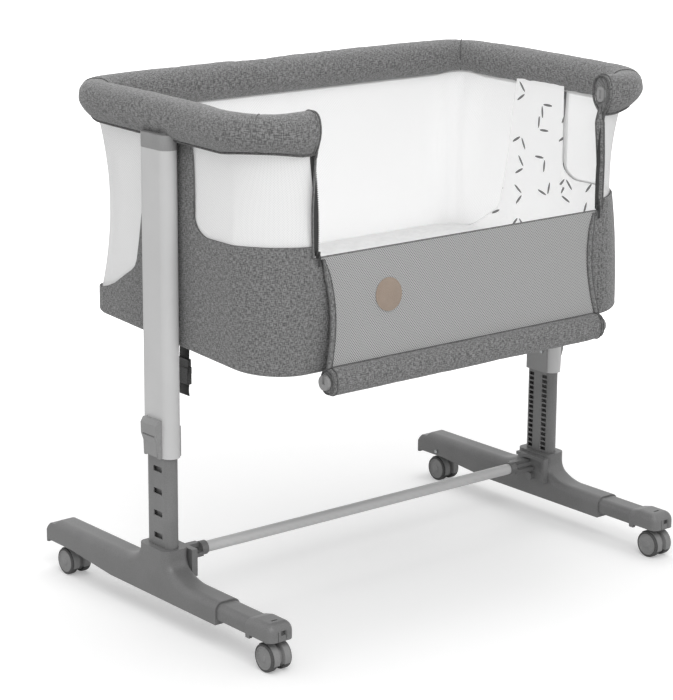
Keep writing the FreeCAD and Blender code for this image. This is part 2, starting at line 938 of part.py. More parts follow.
def caster_pins(x, stem_y, wheel_y, socket_low):
    """Stem with its collar, and the axle of both wheels."""
    low = s.wheel_radius + 4
    top = socket_low + s.stem_length - 6
    shank = rod((x, stem_y, (low + top) / 2), s.stem_radius, top - low)
    collar_low = s.wheel_radius + s.hood_saddle + s.hood_side_gap
    collar_high = socket_low - s.stem_collar_gap
    collar = rod(
        (x, stem_y, (collar_low + collar_high) / 2),
        s.stem_radius + s.stem_flange,
        collar_high - collar_low,
    )
    length = s.wheel_gap + (s.wheel_width - s.wheel_dish - s.hood_side_gap) * 2
    pin = rod((x, wheel_y, s.wheel_radius), s.axle_radius, length, "X")
    return group(joined(shank, collar), pin)


def caster(name, side, stem_y, socket_low):
    """Hood, pins and two wheels of one caster."""
    x = side * s.leg_spread
    wheel_y = stem_y - s.caster_trail
    finish(f"{name}_caster_hood", caster_hood(x, stem_y, wheel_y))
    finish(f"{name}_caster_pins", caster_pins(x, stem_y, wheel_y, socket_low))
    finish(f"{name}_caster_outer_wheel", wheel(x, side, wheel_y))
    finish(f"{name}_caster_inner_wheel", wheel(x, -side, wheel_y))


def build_casters():
    """Four casters, two under the heels and two under the noses."""
    for side, name in ((-1, "left"), (1, "right")):
        caster(f"{name}_front", side, -s.front_caster_reach, s.nose_underside)
        caster(f"{name}_back", side, s.back_caster_reach, s.foot_heel_underside)


# --------------------------------------------------------------------------
# Upper posts, guides and height levers
# --------------------------------------------------------------------------
def upper_tube(side):
    """Light flat tube that slides over the lower post."""
    x = side * s.leg_spread
    body = pad("XY", stadium(s.tube_length, s.tube_thickness, x), s.tube_bottom, s.tube_top)
    inner = stadium(s.tube_length - s.tube_wall * 2, s.tube_thickness - s.tube_wall * 2, x)
    pocket(body, "XY", inner, s.tube_bottom - 1, s.tube_top + 1)
    gap = s.cloth_gap
    latch = (s.tube_wall * 4, s.latch_length + gap * 2, s.latch_height + gap * 2)
    outer_x = x + side * (s.tube_thickness / 2)
    latch_window = block((outer_x, -s.lever_shift, latch_height()), latch)
    inner_x = x - side * (s.tube_thickness / 2)
    size = (s.tube_wall * 4, s.guide_height * 0.5 + gap * 2, s.guide_height * 0.5 + gap * 2)
    block_window = block((inner_x, 0, s.tube_bottom + s.guide_height / 2), size)
    return carved(body, latch_window, block_window)


def post_guide(side):
    """Plastic guide lining the tube's mouth, with its screwed pad on the inside."""
    x = side * s.leg_spread
    gap = s.cloth_gap
    low, high = s.tube_bottom, s.tube_bottom + s.guide_height
    length = s.tube_length - s.tube_wall * 2 - gap
    thickness = s.tube_thickness - s.tube_wall * 2 - gap
    body = pad("XY", stadium(length, thickness, x), low, high)
    fit = s.slide_gap * 2
    bore = stadium(s.post_length + fit, s.post_thickness + fit, x)
    inner_x = s.leg_spread - s.tube_thickness / 2
    neck = block(
        (side * (inner_x + s.tube_wall / 2), 0, (low + high) / 2),
        (s.tube_wall * 2, s.guide_height * 0.5, s.guide_height * 0.5),
    )
    cover = block(
        (side * (inner_x - s.guide_pad / 2 - gap / 2), 0, (low + high) / 2 - 1),
        (s.guide_pad - gap, s.tube_length - s.tube_thickness + 10, s.guide_height - 2),
    )
    bridge = block(
        (side * (inner_x - gap), 0, (low + high) / 2),
        (s.tube_wall, s.guide_height * 0.5, s.guide_height * 0.5),
    )
    whole = joined(body, neck, bridge, cover)
    clear = pad("XY", bore, low - 2, high + 2)
    latch = block(
        (side * (s.leg_spread + s.tube_thickness / 2), -s.lever_shift, latch_height()),
        (s.tube_thickness, s.latch_length + gap * 2, s.latch_height + gap * 2),
    )
    return carved(whole, clear, latch)


def guide_screws():
    """Two screws in each guide's pad."""
    gap = s.cloth_gap
    screws = []
    for side in (-1, 1):
        x = side * (s.leg_spread - s.tube_thickness / 2 - s.guide_pad - 1 - gap / 2)
        for y in (-1, 1):
            z = s.tube_bottom + s.guide_height - 14
            screws.append(rod((x, y * s.guide_height / 4, z), s.screw_radius, 2 - gap, "X"))
    return group(*screws)


def post_cap(side):
    """Cap that plugs the tube and cradles the top rail's tube."""
    x = side * s.leg_spread
    gap = s.cloth_gap
    rail_z = rail_level(0)
    skirt = pad("XY", stadium(s.tube_length, s.tube_thickness, x), s.tube_top, s.tube_top + 24)
    fit = (s.tube_wall + gap) * 2
    plug = pad(
        "XY",
        stadium(s.tube_length - fit, s.tube_thickness - fit, x),
        s.tube_top - 30,
        s.tube_top + 1,
    )
    saddle_half = s.rail_tube_radius + s.saddle_wall
    saddle_top = rail_z + saddle_half
    saddle_low = rail_z - s.padding_half_height - s.strip_drop
    saddle = block(
        (side * s.rail_half_length, 0, (saddle_low + saddle_top) / 2),
        (saddle_half * 2, s.tube_length * 0.8, saddle_top - saddle_low),
    )
    return carved(joined(skirt, plug, saddle), computed(rail_bore(side), "Bore"))


def rail_bore(side):
    """Straight bore through a post's cap, tilted like the rail tube that lies in it."""
    reach = s.tube_length.value
    low, high = rail_level(-reach).value, rail_level(reach).value
    start = Vector(side * s.rail_half_length.value, -reach, low)
    direction = Vector(0, 2 * reach, high - low)
    radius = s.rail_tube_radius.value + s.cloth_gap.value
    return Part.makeCylinder(radius, 2 * reach, start, direction)


def lever_profile(side, shrink=0):
    """Side outline of the lever housing in the XZ plane."""
    face = s.leg_spread + s.tube_thickness / 2
    low = s.tube_bottom
    high = low + s.lever_housing_height
    deep = face + s.lever_housing_depth - shrink
    toe = face + s.lever_housing_toe - shrink
    ledge = high - s.lever_pivot_drop
    outline = [
        (face, low),
        (toe, low),
        (toe + 1, low + 24),
        (deep - 0.5, ledge),
        (deep, high - 8),
        (deep - 5, high),
        (face, high),
    ]
    return [(side * u, v) for u, v in outline]


def lever_middle():
    """Middle of the lever and its housing along the crib's depth."""
    return s.lever_shift * -0.25


def lever_pivot(side):
    """Centre of the lever's trunnions, near its top."""
    x = s.leg_spread + s.tube_thickness / 2 + s.lever_housing_depth - s.lever_frame - 1
    z = s.tube_bottom + s.lever_housing_height - s.lever_pivot_drop - 2
    return side * x, lever_middle(), z


def trunnion_length():
    """Length of the trunnions, which end inside the housing's side walls."""
    return s.lever_housing_length - s.lever_frame


def lever_housing(side):
    """Housing on the outer face of the tube; the lever lies in its open pocket."""
    middle = lever_middle()
    half = s.lever_housing_length / 2
    body = pad("XZ", lever_profile(side), middle - half, middle + half)
    face = s.leg_spread + s.tube_thickness / 2
    ledge = s.tube_bottom + s.lever_housing_height - s.lever_pivot_drop + 1
    depth = s.lever_housing_depth * 2
    room = block(
        (side * (face + 1.5 + depth / 2), middle, (s.tube_bottom - 1 + ledge) / 2),
        (depth, s.lever_housing_length - s.lever_frame * 2, ledge - s.tube_bottom + 1),
    )
    gap = s.cloth_gap
    latch = block(
        (side * face, -s.lever_shift, latch_height()),
        (s.lever_housing_depth, s.latch_length + gap * 2, s.latch_height + gap * 2),
    )
    holes = rod(lever_pivot(side), s.trunnion_radius + s.turning_gap, trunnion_length(), "Y")
    return carved(body, room, latch, holes)


def height_lever(side):
    """Paddle that hinges at its top and pulls the latch out."""
    gap = s.cloth_gap
    face = s.leg_spread + s.tube_thickness / 2
    ledge = s.tube_bottom + s.lever_housing_height - s.lever_pivot_drop
    low = s.tube_bottom + 2
    thick = s.lever_thickness
    toe = face + s.lever_housing_toe
    deep = face + s.lever_housing_depth
    outline = [
        (toe - thick + 1, low),
        (toe + 0.6, low),
        (toe + 1, low + 22),
        (deep - 1, ledge - 2),
        (deep - 3, ledge),
        (deep - thick - 5, ledge),
        (toe - thick + 2, low + 22),
    ]
    middle = lever_middle()
    half = s.lever_housing_length / 2 - s.lever_frame - gap
    body = pad("XZ", [(side * u, v) for u, v in outline], middle - half, middle + half)
    trunnion = rod(lever_pivot(side), s.trunnion_radius, trunnion_length(), "Y")
    return joined(body, trunnion)


def latch_bolt(side):
    """Steel latch between the lever and the post's slots."""
    gap = s.cloth_gap
    inner = s.leg_spread + s.post_thickness / 2 + gap
    outer = s.leg_spread + s.tube_thickness / 2 + s.lever_housing_toe - s.lever_thickness + 1
    length = outer - inner
    return block(
        (side * (inner + length / 2), -s.lever_shift, latch_height()),
        (length, s.latch_length, s.latch_height),
    )


def build_posts():
    """Both telescopic posts with their guides, caps and levers."""
    for side, name in ((-1, "left"), (1, "right")):
        finish(f"{name}_upper_tube", upper_tube(side))
        finish(f"{name}_post_guide", post_guide(side))
        finish(f"{name}_post_cap", post_cap(side))
        finish(f"{name}_height_lever", height_lever(side))
        finish(f"{name}_latch_bolt", latch_bolt(side))
    finish("lever_housings", group(lever_housing(-1), lever_housing(1)))
    finish("guide_screws", guide_screws())


# --------------------------------------------------------------------------
# Top rail and its padding
# --------------------------------------------------------------------------
def rail_level(y):
    """Height of the rail's centre at a distance y behind the posts."""
    slope = s.rail_rise / (s.rail_front + s.rail_back)
    return s.rail_height + slope * y


def rail_wire(end_x):
    """The rail's centre line, an open U that runs round the back."""
    half, front, back = (n.value for n in (s.rail_half_length, s.rail_front, s.rail_back))
    corners = [
        (Vector(-end_x, -front, 0), 0),
        (Vector(-half, -front, 0), s.rail_front_corner.value),
        (Vector(-half, back, 0), s.rail_back_corner.value),
        (Vector(half, back, 0), s.rail_back_corner.value),
        (Vector(half, -front, 0), s.rail_front_corner.value),
        (Vector(end_x, -front, 0), 0),
    ]
    return rounded_wire(corners, closed=False)


def rail_sweep(profile, end_x):
    """Sweep a closed profile of the YZ plane along the rail and tilt it into place."""
    front = s.rail_front.value
    section = profile.copy()
    section.translate(Vector(-end_x, -front, 0))
    shell = rail_wire(end_x).makePipeShell([section], True, False)
    tilt = math.degrees(math.atan2(s.rail_rise.value, front + s.rail_back.value))
    shell.rotate(Vector(0, 0, 0), Vector(1, 0, 0), tilt)
    shell.translate(Vector(0, 0, s.rail_height.value))
    return shell


def ring(radius):
    """A circle in the YZ plane."""
    circle = Part.Circle(Vector(0, 0, 0), Vector(1, 0, 0), radius)
    return Part.Wire([circle.toShape()])


def padding_section():
    """Padded section; its sewn seam hangs from the underside, outside the middle."""
    wide, high = s.padding_half_width.value, s.padding_half_height.value
    low = -high - s.seam_depth.value
    near = -s.seam_shift.value
    far = near - s.seam_width.value
    points = [
        (Vector(0, wide, high), wide * 0.9),
        (Vector(0, -wide, high), wide * 0.9),
        (Vector(0, -wide, -high), wide * 0.68),
        (Vector(0, far, -high), 0),
        (Vector(0, far, low), 0),
        (Vector(0, near, low), 0),
        (Vector(0, near, -high), 0),
        (Vector(0, wide, -high), wide * 0.8),
    ]
    return rounded_wire(points)


def rail_padding():
    """The padded sleeve round the rail, cut out where the post caps reach in."""
    gap = s.cloth_gap.value
    body = rail_sweep(padding_section(), s.rail_opening.value)
    bore = rail_sweep(ring(s.rail_tube_radius.value + gap), s.rail_opening.value)
    body = body.cut(bore)
    half = s.rail_tube_radius.value + s.saddle_wall.value + gap
    top = rail_level(0).value + half
    low = s.tube_top.value - 5
    length = s.tube_length.value / 2 + gap
    for side in (-1, 1):
        x = side * s.rail_half_length.value
        x_post = side * s.leg_spread.value
        tube_half = s.tube_thickness.value / 2 + gap
        slot = box_between((x - half, -length, low), (x + half, length, top))
        skirt_top = s.tube_top.value + 24 + gap
        skirt = box_between((x_post - tube_half, -length, low), (x_post + tube_half, length, skirt_top))
        body = body.cut(slot.fuse(skirt))
    return body


def rail_tube():
    """Bent steel tube inside the padding."""
    outer = rail_sweep(ring(s.rail_tube_radius.value), s.rail_opening.value)
    inner = rail_sweep(ring(s.rail_tube_radius.value - s.rail_tube_wall.value), s.rail_opening.value)
    return outer.cut(inner)


def rail_plugs():
    """Oval end plugs with a slot, pressed into the rail tube."""
    parts = []
    z = rail_level(-s.rail_front)
    for side in (-1, 1):
        face = s.rail_opening - s.plug_proud
        x = side * (face + s.plug_proud / 2)
        straight = (s.plug_half_height - s.plug_half_width) * 2
        oval = joined(
            block((x, -s.rail_front, z), (s.plug_proud, s.plug_half_width * 2, straight)),
            rod((x, -s.rail_front, z - straight / 2), s.plug_half_width, s.plug_proud, "X"),
            rod((x, -s.rail_front, z + straight / 2), s.plug_half_width, s.plug_proud, "X"),
        )
        spigot = rod(
            (side * (s.rail_opening + 9), -s.rail_front, z),
            s.rail_tube_radius - s.rail_tube_wall - s.cloth_gap,
            18.5,
            "X",
        )
        slot = block(
            (side * face, -s.rail_front, z), (s.plug_proud * 1.2, 3.5, s.plug_half_height * 1.1)
        )
        parts.append(carved(joined(oval, spigot), slot))
    return group(*parts)


def build_rail():
    """Rail tube, padding and end plugs."""
    finish("rail_tube", computed(rail_tube(), "RailTube"))
    finish("rail_padding", computed(rail_padding(), "Padding"))
    finish("rail_end_plugs", rail_plugs())


# --------------------------------------------------------------------------
# Cloth tub, mesh walls, base and mattress
# --------------------------------------------------------------------------
def tub_plan(inset, z):
    """Plan of the tub at a distance inside its outer face."""
    return plan_wire(
        s.tub_half_length.value - inset,
        s.tub_front.value - inset,
        s.tub_back.value - inset,
        s.tub_front_corner.value - inset,
        s.tub_back_corner.value - inset,
        z,
    )


def hem_bottom(y):
    """Height of the tub's lower hem at a distance y behind the posts."""
    slope = (s.tub_bottom_back.value - s.tub_bottom_front.value) / (
        s.tub_back.value + s.tub_front.value
    )
    return s.tub_bottom_front.value + slope * (y + s.tub_front.value)


def tub_cloth():
    """The lower tub: walls, floor, the strips behind the posts and the fold hem."""
    cloth = s.tub_cloth.value
    far = s.tub_half_length.value + 10
    front, back = -s.tub_front.value - 5, s.tub_back.value + 5
    strip_drop = s.strip_drop.value + s.cloth_gap.value
    top = rail_level(0).value - s.padding_half_height.value - strip_drop
    profile = [
        (front, hem_bottom(front), 0),
        (back, hem_bottom(back), 0),
        (back, s.window_back_sill.value, 0),
        (s.strip_back.value + 75, s.window_back_sill.value + 8, 120),
        (s.strip_back.value, s.window_back_sill.value + 90, 30),
        (s.strip_back.value - 8, top, 0),
        (-s.strip_front.value + 8, top, 0),
        (-s.strip_front.value, s.window_front_sill.value, 34),
        (front, s.window_front_sill.value, 0),
    ]
    side = side_prism(profile, far)
    low = s.tub_bottom_front.value - 20
    outer = prism(tub_plan(0, low), Vector(0, 0, top - low + 5))
    body = outer.common(side)
    floor_top = s.tub_floor.value
    upper = prism(tub_plan(cloth, floor_top), Vector(0, 0, top))
    lower = prism(tub_plan(cloth, low - 5), Vector(0, 0, floor_top - cloth - low + 5))
    body = body.cut(upper).cut(lower)
    fold = s.fold_height.value
    open_half = s.rail_opening.value + s.cloth_gap.value * 2
    opening = box_between(
        (-open_half, front - 5, fold), (open_half, -s.tub_front.value + 40, top + 5)
    )
    body = body.cut(opening)
    half = s.panel_half_length.value + 2
    hem_radius = s.fold_bar_radius.value + cloth
    hem = Part.makeCylinder(
        hem_radius, 2 * half, Vector(-half, fold_bar_y(), fold - hem_radius), Vector(1, 0, 0)
    )
    bore_length = 2 * (half - cloth)
    bore = Part.makeCylinder(
        s.fold_bar_radius.value + s.cloth_gap.value,
        bore_length,
        Vector(-bore_length / 2, fold_bar_y(), fold - hem_radius),
        Vector(1, 0, 0),
    )
    body = body.fuse(hem).cut(bore)
    for side_sign in (-1, 1):
        for y in (-1, 1):
            pin = Part.makeCylinder(
                s.base_tube_radius.value * 0.5 + s.cloth_gap.value,
                30,
                Vector(side_sign * (s.tub_half_length.value - 15), y * 18, base_tube_z()),
                Vector(side_sign, 0, 0),
            )
            body = body.cut(pin)
    return body.removeSplitter()


def fold_bar_y():
    """Depth position of the thin bar in the fold hem."""
    return -(s.tub_front.value - s.fold_bar_radius.value - s.tub_cloth.value)


def mesh_walls():
    """Thin net walls above the tub, drawn in at the corners half way up."""
    gap = s.cloth_gap.value
    inset = s.tub_cloth.value + gap
    low = s.window_back_sill.value - 8
    top = rail_level(s.tub_back).value - s.padding_half_height.value
    middle = (low + top) / 2
    cloth = s.mesh_cloth.value

    def level(z, pull, extra):
        return plan_wire(
            s.tub_half_length.value - inset - extra,
            s.tub_front.value - inset - extra,
            s.tub_back.value - inset - extra,
            s.tub_front_corner.value - inset - extra + pull * 0.6,
            s.tub_back_corner.value - inset - extra + pull,
            z,
        )

    pull = s.mesh_pull.value
    outer = Part.makeLoft([level(low, 0, 0), level(middle, pull, 0), level(top, 0, 0)], True, False)
    inner = Part.makeLoft(
        [level(low - 1, 0, cloth), level(middle, pull, cloth), level(top + 1, 0, cloth)],
        True,
        False,
    )
    walls = outer.cut(inner)
    half = s.rail_opening.value - 1
    front = -s.tub_front.value
    opening = box_between((-half, front - 20, low - 5), (half, front + 60, top + 20))
    walls = walls.cut(opening)
    far = s.tub_front.value * 2
    under = s.padding_half_height.value + gap
    slope = [
        (-far, rail_level(-far).value - under, 0),
        (far, rail_level(far).value - under, 0),
        (far, top + 60, 0),
        (-far, top + 60, 0),
    ]
    walls = walls.cut(side_prism(slope, s.tub_half_length.value + 10))
    for side in (-1, 1):
        x = side * s.rail_half_length.value
        reach = s.rail_tube_radius.value + s.saddle_wall.value + gap
        length = s.tube_length.value * 0.4 + gap
        saddle = box_between((x - reach, -length, s.tube_top.value), (x + reach, length, top + 60))
        walls = walls.cut(saddle)
    return walls


def base_tube_z():
    """Height of the base tube's centre, resting on the cloth floor."""
    return s.tub_floor.value + s.base_tube_radius.value + s.cloth_gap.value


def base_frame():
    """Closed steel tube round the cot's floor."""
    radius = s.base_tube_radius.value
    inset = s.tub_cloth.value + s.cloth_gap.value + radius
    path = tub_plan(inset, base_tube_z())
    start = path.Edges[0].Vertexes[0].Point
    direction = path.Edges[0].tangentAt(path.Edges[0].FirstParameter)

    def around(size):
        circle = Part.Circle(start, direction, size)
        return path.makePipeShell([Part.Wire([circle.toShape()])], True, False)

    return around(radius).cut(around(radius - 1.2))


def board_level():
    """Height of the board's underside, just above the base tube."""
    return base_tube_z() + s.base_tube_radius.value + s.cloth_gap.value


def board():
    """Stiff base board that rests on the tube round the tub's floor."""
    inset = s.tub_cloth.value + s.board_inset.value
    return prism(tub_plan(inset, board_level()), Vector(0, 0, s.board_thickness.value))


def mattress():
    """Quilted mattress: drawn-in sides, a crowned top and sewn channels."""
    inset = s.tub_cloth.value + s.mesh_cloth.value + s.mattress_inset.value
    low = board_level() + s.board_thickness.value + s.cloth_gap.value
    high = s.mattress_top.value
    crown = s.mattress_crown.value
    rise = high - low

    def level(z, extra):
        return plan_wire(
            s.tub_half_length.value - inset - extra,
            s.tub_front.value - inset - extra,
            s.tub_back.value - inset - extra,
            s.tub_front_corner.value - inset - extra * 0.5 + 8,
            s.tub_back_corner.value - inset - extra * 0.5 + 12,
            z,
        )

    levels = [
        level(low, 6),
        level(low + rise * 0.2, 1),
        level(low + rise * 0.45, 3),
        level(high - crown - 3, 1),
        level(high - crown, 7),
        level(high - crown * 0.4, 30),
        level(high, 80),
    ]
    body = Part.makeLoft(levels, True, True)
    radius = s.channel_radius.value
    lift = radius - s.channel_depth.value
    reach = s.tub_half_length.value * 1.6
    half_count = int(s.tub_half_length.value * 1.5 / s.channel_pitch.value)
    for turn in (-1, 1):
        direction = Vector(1, turn, 0).normalize()
        for number in range(-half_count, half_count + 1):
            middle = Vector(number * s.channel_pitch.value, 0, high + lift)
            start = middle - direction * reach / 2
            body = body.cut(Part.makeCylinder(radius, reach, start, direction))
    return body


def frame_brackets():
    """Spacers with pins that carry the base tube on the upper posts."""
    parts = []
    gap = s.cloth_gap
    tub_face = s.tub_half_length + gap
    post_face = s.leg_spread - s.tube_thickness / 2
    z = s.tub_floor + s.base_tube_radius + gap
    for side in (-1, 1):
        depth = post_face - tub_face
        plate = block(
            (side * (tub_face + depth / 2), 0, z), (depth, s.tube_length * 0.6, s.base_tube_radius * 2)
        )
        pins = []
        inner = s.tub_half_length - s.tub_cloth - gap
        for y in (-1, 1):
            length = tub_face - inner + 1
            pins.append(
                rod((side * (inner + length / 2), 18 * y, z), s.base_tube_radius * 0.5, length, "X")
            )
        parts.append(joined(plate, *pins))
    return group(*parts)


def build_cot():
    """Tub, net walls, base and mattress."""
    finish("tub_cloth", computed(tub_cloth(), "Tub"))
    finish("mesh_walls", computed(mesh_walls(), "Mesh"))
    finish("base_tube", computed(base_frame(), "BaseTube"))
    finish("base_board", computed(board(), "Board"))
    finish("mattress", computed(mattress(), "Mattress"))
    finish("frame_brackets", frame_brackets())
    half = s.panel_half_length - 1
    y = -(s.tub_front - s.fold_bar_radius - s.tub_cloth)
    z = s.fold_height - s.fold_bar_radius - s.tub_cloth
    finish("fold_bar", rod((0, y, z), s.fold_bar_radius, half * 2, "X"))


# --------------------------------------------------------------------------
# Fold-down side
# --------------------------------------------------------------------------
def hinge_line():
    """Depth and height of the line that the side folds about."""
    return -(s.tub_front.value + s.fold_gap.value), s.fold_height.value


def hanging_bar():
    """Depth and height of the side's bar while it hangs folded down."""
    hinge_y, hinge_z = hinge_line()
    closed_y = -s.rail_front.value
    closed_z = rail_level(-s.rail_front).value
    reach = math.hypot(closed_y - hinge_y, closed_z - hinge_z)
    stand_off = s.sleeve_half_width.value + 1.5 - s.fold_gap.value
    angle = math.asin(stand_off / reach)
    return hinge_y - reach * math.sin(angle), hinge_z - reach * math.cos(angle)


def side_panel():
    """Flat net panel between the fold and the bar's sleeve."""
    hinge_y, hinge_z = hinge_line()
    bar_y, bar_z = hanging_bar()
    along = Vector(0, bar_y - hinge_y, bar_z - hinge_z).normalize()
    across = Vector(0, along.z, -along.y) * (s.panel_cloth.value / 2)
    half = s.panel_half_length.value
    start = Vector(-half, hinge_y, hinge_z) + along
    reach = math.hypot(bar_y - hinge_y, bar_z - hinge_z)
    end = start + along * (reach - 1 - s.sleeve_half_height.value - s.cloth_gap.value)
    corners = [(start + across, 0), (end + across, 0), (end - across, 0), (start - across, 0)]
    return prism(rounded_wire(corners), Vector(2 * half, 0, 0))


def side_sleeve():
    """Padded cloth sleeve round the side's bar."""
    bar_y, bar_z = hanging_bar()
    hinge_y, hinge_z = hinge_line()
    wide, high = s.sleeve_half_width.value, s.sleeve_half_height.value
    half = s.panel_half_length.value
    points = [
        (Vector(-half, bar_y + wide, bar_z + high), wide * 0.9),
        (Vector(-half, bar_y - wide, bar_z + high), wide * 0.9),
        (Vector(-half, bar_y - wide, bar_z - high), wide * 0.8),
        (Vector(-half, bar_y + wide, bar_z - high), wide * 0.8),
    ]
    body = prism(rounded_wire(points), Vector(2 * half, 0, 0))
    tilt = math.degrees(math.atan2(hinge_y - bar_y, hinge_z - bar_z))
    centre = Vector(0, bar_y, bar_z)
    body.rotate(centre, Vector(1, 0, 0), -tilt)
    bore = Part.makeCylinder(
        s.side_bar_radius.value + s.cloth_gap.value,
        2 * half + 2,
        Vector(-half - 1, bar_y, bar_z),
        Vector(1, 0, 0),
    )
    return body.cut(bore)


def side_bar():
    """Round bar inside the sleeve."""
    bar_y, bar_z = hanging_bar()
    half = s.panel_half_length.value
    start = Vector(-half, bar_y, bar_z)
    outer = Part.makeCylinder(s.side_bar_radius.value, 2 * half, start, Vector(1, 0, 0))
    bore = s.side_bar_radius.value - s.side_bar_wall.value
    inner = Part.makeCylinder(bore, 2 * half, start, Vector(1, 0, 0))
    return outer.cut(inner)


def bar_connectors():
    """Slotted end fittings that hook into the rail's end plugs."""
    bar_y, bar_z = hanging_bar()
    half = s.panel_half_length.value
    reach = s.connector_reach.value
    disc = s.connector_disc.value
    parts = []
    for side in (-1, 1):
        axis = Vector(side, 0, 0)
        fit = s.side_bar_radius.value - s.side_bar_wall.value - 0.3
        spigot = Part.makeCylinder(fit, 22, Vector(side * (half - 20), bar_y, bar_z), axis)
        stub_start = Vector(side * half, bar_y, bar_z)
        stub = Part.makeCylinder(s.connector_stub_radius.value, reach - half - 1, stub_start, axis)
        plate_start = Vector(side * (reach - disc), bar_y, bar_z)
        plate = Part.makeCylinder(s.connector_radius.value, disc, plate_start, axis)
        notch = box_between(
            (min(side * (reach - 3), side * (reach + 3)), bar_y - 3, bar_z - 2),
            (max(side * (reach - 3), side * (reach + 3)), bar_y + 3, bar_z + 30),
        )
        parts.append(spigot.fuse(stub).fuse(plate).cut(notch))
    return Part.makeCompound(parts)


def badge():
    """Plain round patch sewn on the net panel."""
    hinge_y, hinge_z = hinge_line()
    bar_y, bar_z = hanging_bar()
    along = Vector(0, bar_y - hinge_y, bar_z - hinge_z).normalize()
    outward = Vector(0, along.z, -along.y)
    place = 75
    centre = Vector(-163, hinge_y, hinge_z) + along * place
    start = centre + outward * (s.panel_cloth.value / 2)
    return Part.makeCylinder(s.badge_radius.value, s.badge_thickness.value, start, outward)


def build_side():
    """The fold-down side, modelled hanging open."""
    finish("side_panel", computed(side_panel(), "Panel"))
    finish("side_sleeve", computed(side_sleeve(), "Sleeve"))
    finish("side_bar", computed(side_bar(), "SideBar"))
    finish("side_bar_connectors", computed(bar_connectors(), "Connectors"))
    finish("side_badge", computed(badge(), "Badge"))


# --------------------------------------------------------------------------
# Zips and bed straps
# --------------------------------------------------------------------------
def side_zips():
    """Zip tapes that bow between the rail's ends and the fold, with their sliders."""
    parts = []
    gap = s.cloth_gap.value
    top = rail_level(-s.tub_front).value - s.padding_half_height.value - gap
    low = s.fold_height.value + s.panel_cloth.value
    width, thick = s.zip_width.value, s.zip_thickness.value
    y = -s.tub_front.value + gap
    upper_x = s.rail_opening.value + 1
    lower_x = s.rail_opening.value - width
    for side in (-1, 1):
        middle = (top + low) / 2
        inner_mid = Vector(side * ((upper_x + lower_x) / 2 - s.zip_bow.value), y, middle)
        outer_mid = inner_mid + Vector(side * width, 0, 0)
        low_in = Vector(side * lower_x, y, low)
        low_out = Vector(side * (lower_x + width), y, low)
        top_in = Vector(side * upper_x, y, top)
        top_out = Vector(side * (upper_x + width), y, top)
        edges = [
            Part.Arc(low_in, inner_mid, top_in).toShape(),
            Part.LineSegment(top_in, top_out).toShape(),
            Part.Arc(top_out, outer_mid, low_out).toShape(),
            Part.LineSegment(low_out, low_in).toShape(),
        ]
        parts.append(prism(Part.Wire(edges), Vector(0, thick, 0)))
        middle_x = side * (lower_x + width / 2)
        slider = box_between(
            (middle_x - width / 2, y - thick * 1.5, low), (middle_x + width / 2, y, low + width * 2)
        )
        parts.append(slider)
    return Part.makeCompound(parts)


def bed_strap(side):
    """Webbing that hangs from the tub floor and holds the crib to a bed."""
    half_width = s.strap_width.value / 2
    y = s.strap_shift.value
    x = s.strap_spread.value
    thick = s.strap_thickness.value
    top = s.tub_floor.value - s.tub_cloth.value - s.cloth_gap.value
    bottom = top - s.strap_drop.value
    run = s.strap_drop.value * 0.8
    inner = [
        (Vector(side * (x - run), y - half_width, top), 0),
        (Vector(side * x, y - half_width, top - run * 0.9), run * 0.7),
        (Vector(side * x, y - half_width, bottom), 0),
        (Vector(side * (x + thick), y - half_width, bottom), 0),
        (Vector(side * (x + thick), y - half_width, top - run * 0.86), run * 0.7 + thick),
        (Vector(side * (x - run + thick * 1.4), y - half_width, top), 0),
    ]
    return prism(rounded_wire(inner), Vector(0, s.strap_width.value, 0))


def strap_buckle(side):
    """Side-release buckle on the strap, with the strap's short tail below."""
    x = side * (s.strap_spread + s.strap_thickness / 2)
    top = s.tub_floor - s.tub_cloth - s.cloth_gap - s.strap_drop
    half_width = s.strap_width / 2 + 2.5
    body = block(
        (x, s.strap_shift, top - s.buckle_height / 2),
        (s.buckle_thickness, half_width * 2, s.buckle_height),
    )
    prong = rod(
        (x, s.strap_shift, top - s.buckle_height * 0.45),
        s.buckle_thickness * 0.9,
        half_width * 2 + 5,
        "Y",
    )
    slab = block(
        (x, s.strap_shift, top - s.buckle_height * 0.45),
        (s.buckle_thickness * 0.7, half_width * 2 + 5, s.buckle_height * 0.3),
    )
    squeeze = doc.addObject("Part::MultiCommon", fresh("Common"))
    squeeze.Shapes = [prong, slab]
    tail = block(
        (x, s.strap_shift, top - s.buckle_height - s.strap_tail / 2),
        (s.strap_thickness * 1.5, s.strap_width, s.strap_tail),
    )
    return joined(body, squeeze, tail)


def build_trims():
    """Zips, straps and buckles."""
    finish("side_zips", computed(side_zips(), "Zips"))
    straps = [bed_strap(side) for side in (-1, 1)]
    finish("bed_straps", computed(Part.makeCompound(straps), "Straps"))
    finish("strap_buckles", group(strap_buckle(-1), strap_buckle(1)))


# --------------------------------------------------------------------------
# Build, check and write
# --------------------------------------------------------------------------
def write_pieces():
    """Check every object and write each piece to its own file."""
    doc.recompute()
    failed = [o.Name for o in doc.Objects if "Invalid" in o.State or "Error" in o.State]
    if failed:
        raise RuntimeError(f"objects failed: {failed}")
    os.makedirs("parts", exist_ok=True)
    for label, thing in pieces.items():
        shape = thing.Shape
        if shape.isNull() or not shape.isValid() or not shape.Solids:
            raise RuntimeError(f"{label} has no valid solid")
        shape.exportStep(f"parts/{label}.step")
        print(f"{label}: {len(shape.Solids)} solid(s), {shape.Volume / 1000:.1f} cm3")
    print(f"{len(pieces)} nodes")


build_base()
build_extensions()
build_casters()
build_posts()
build_rail()
build_cot()
build_side()
build_trims()
write_pieces()
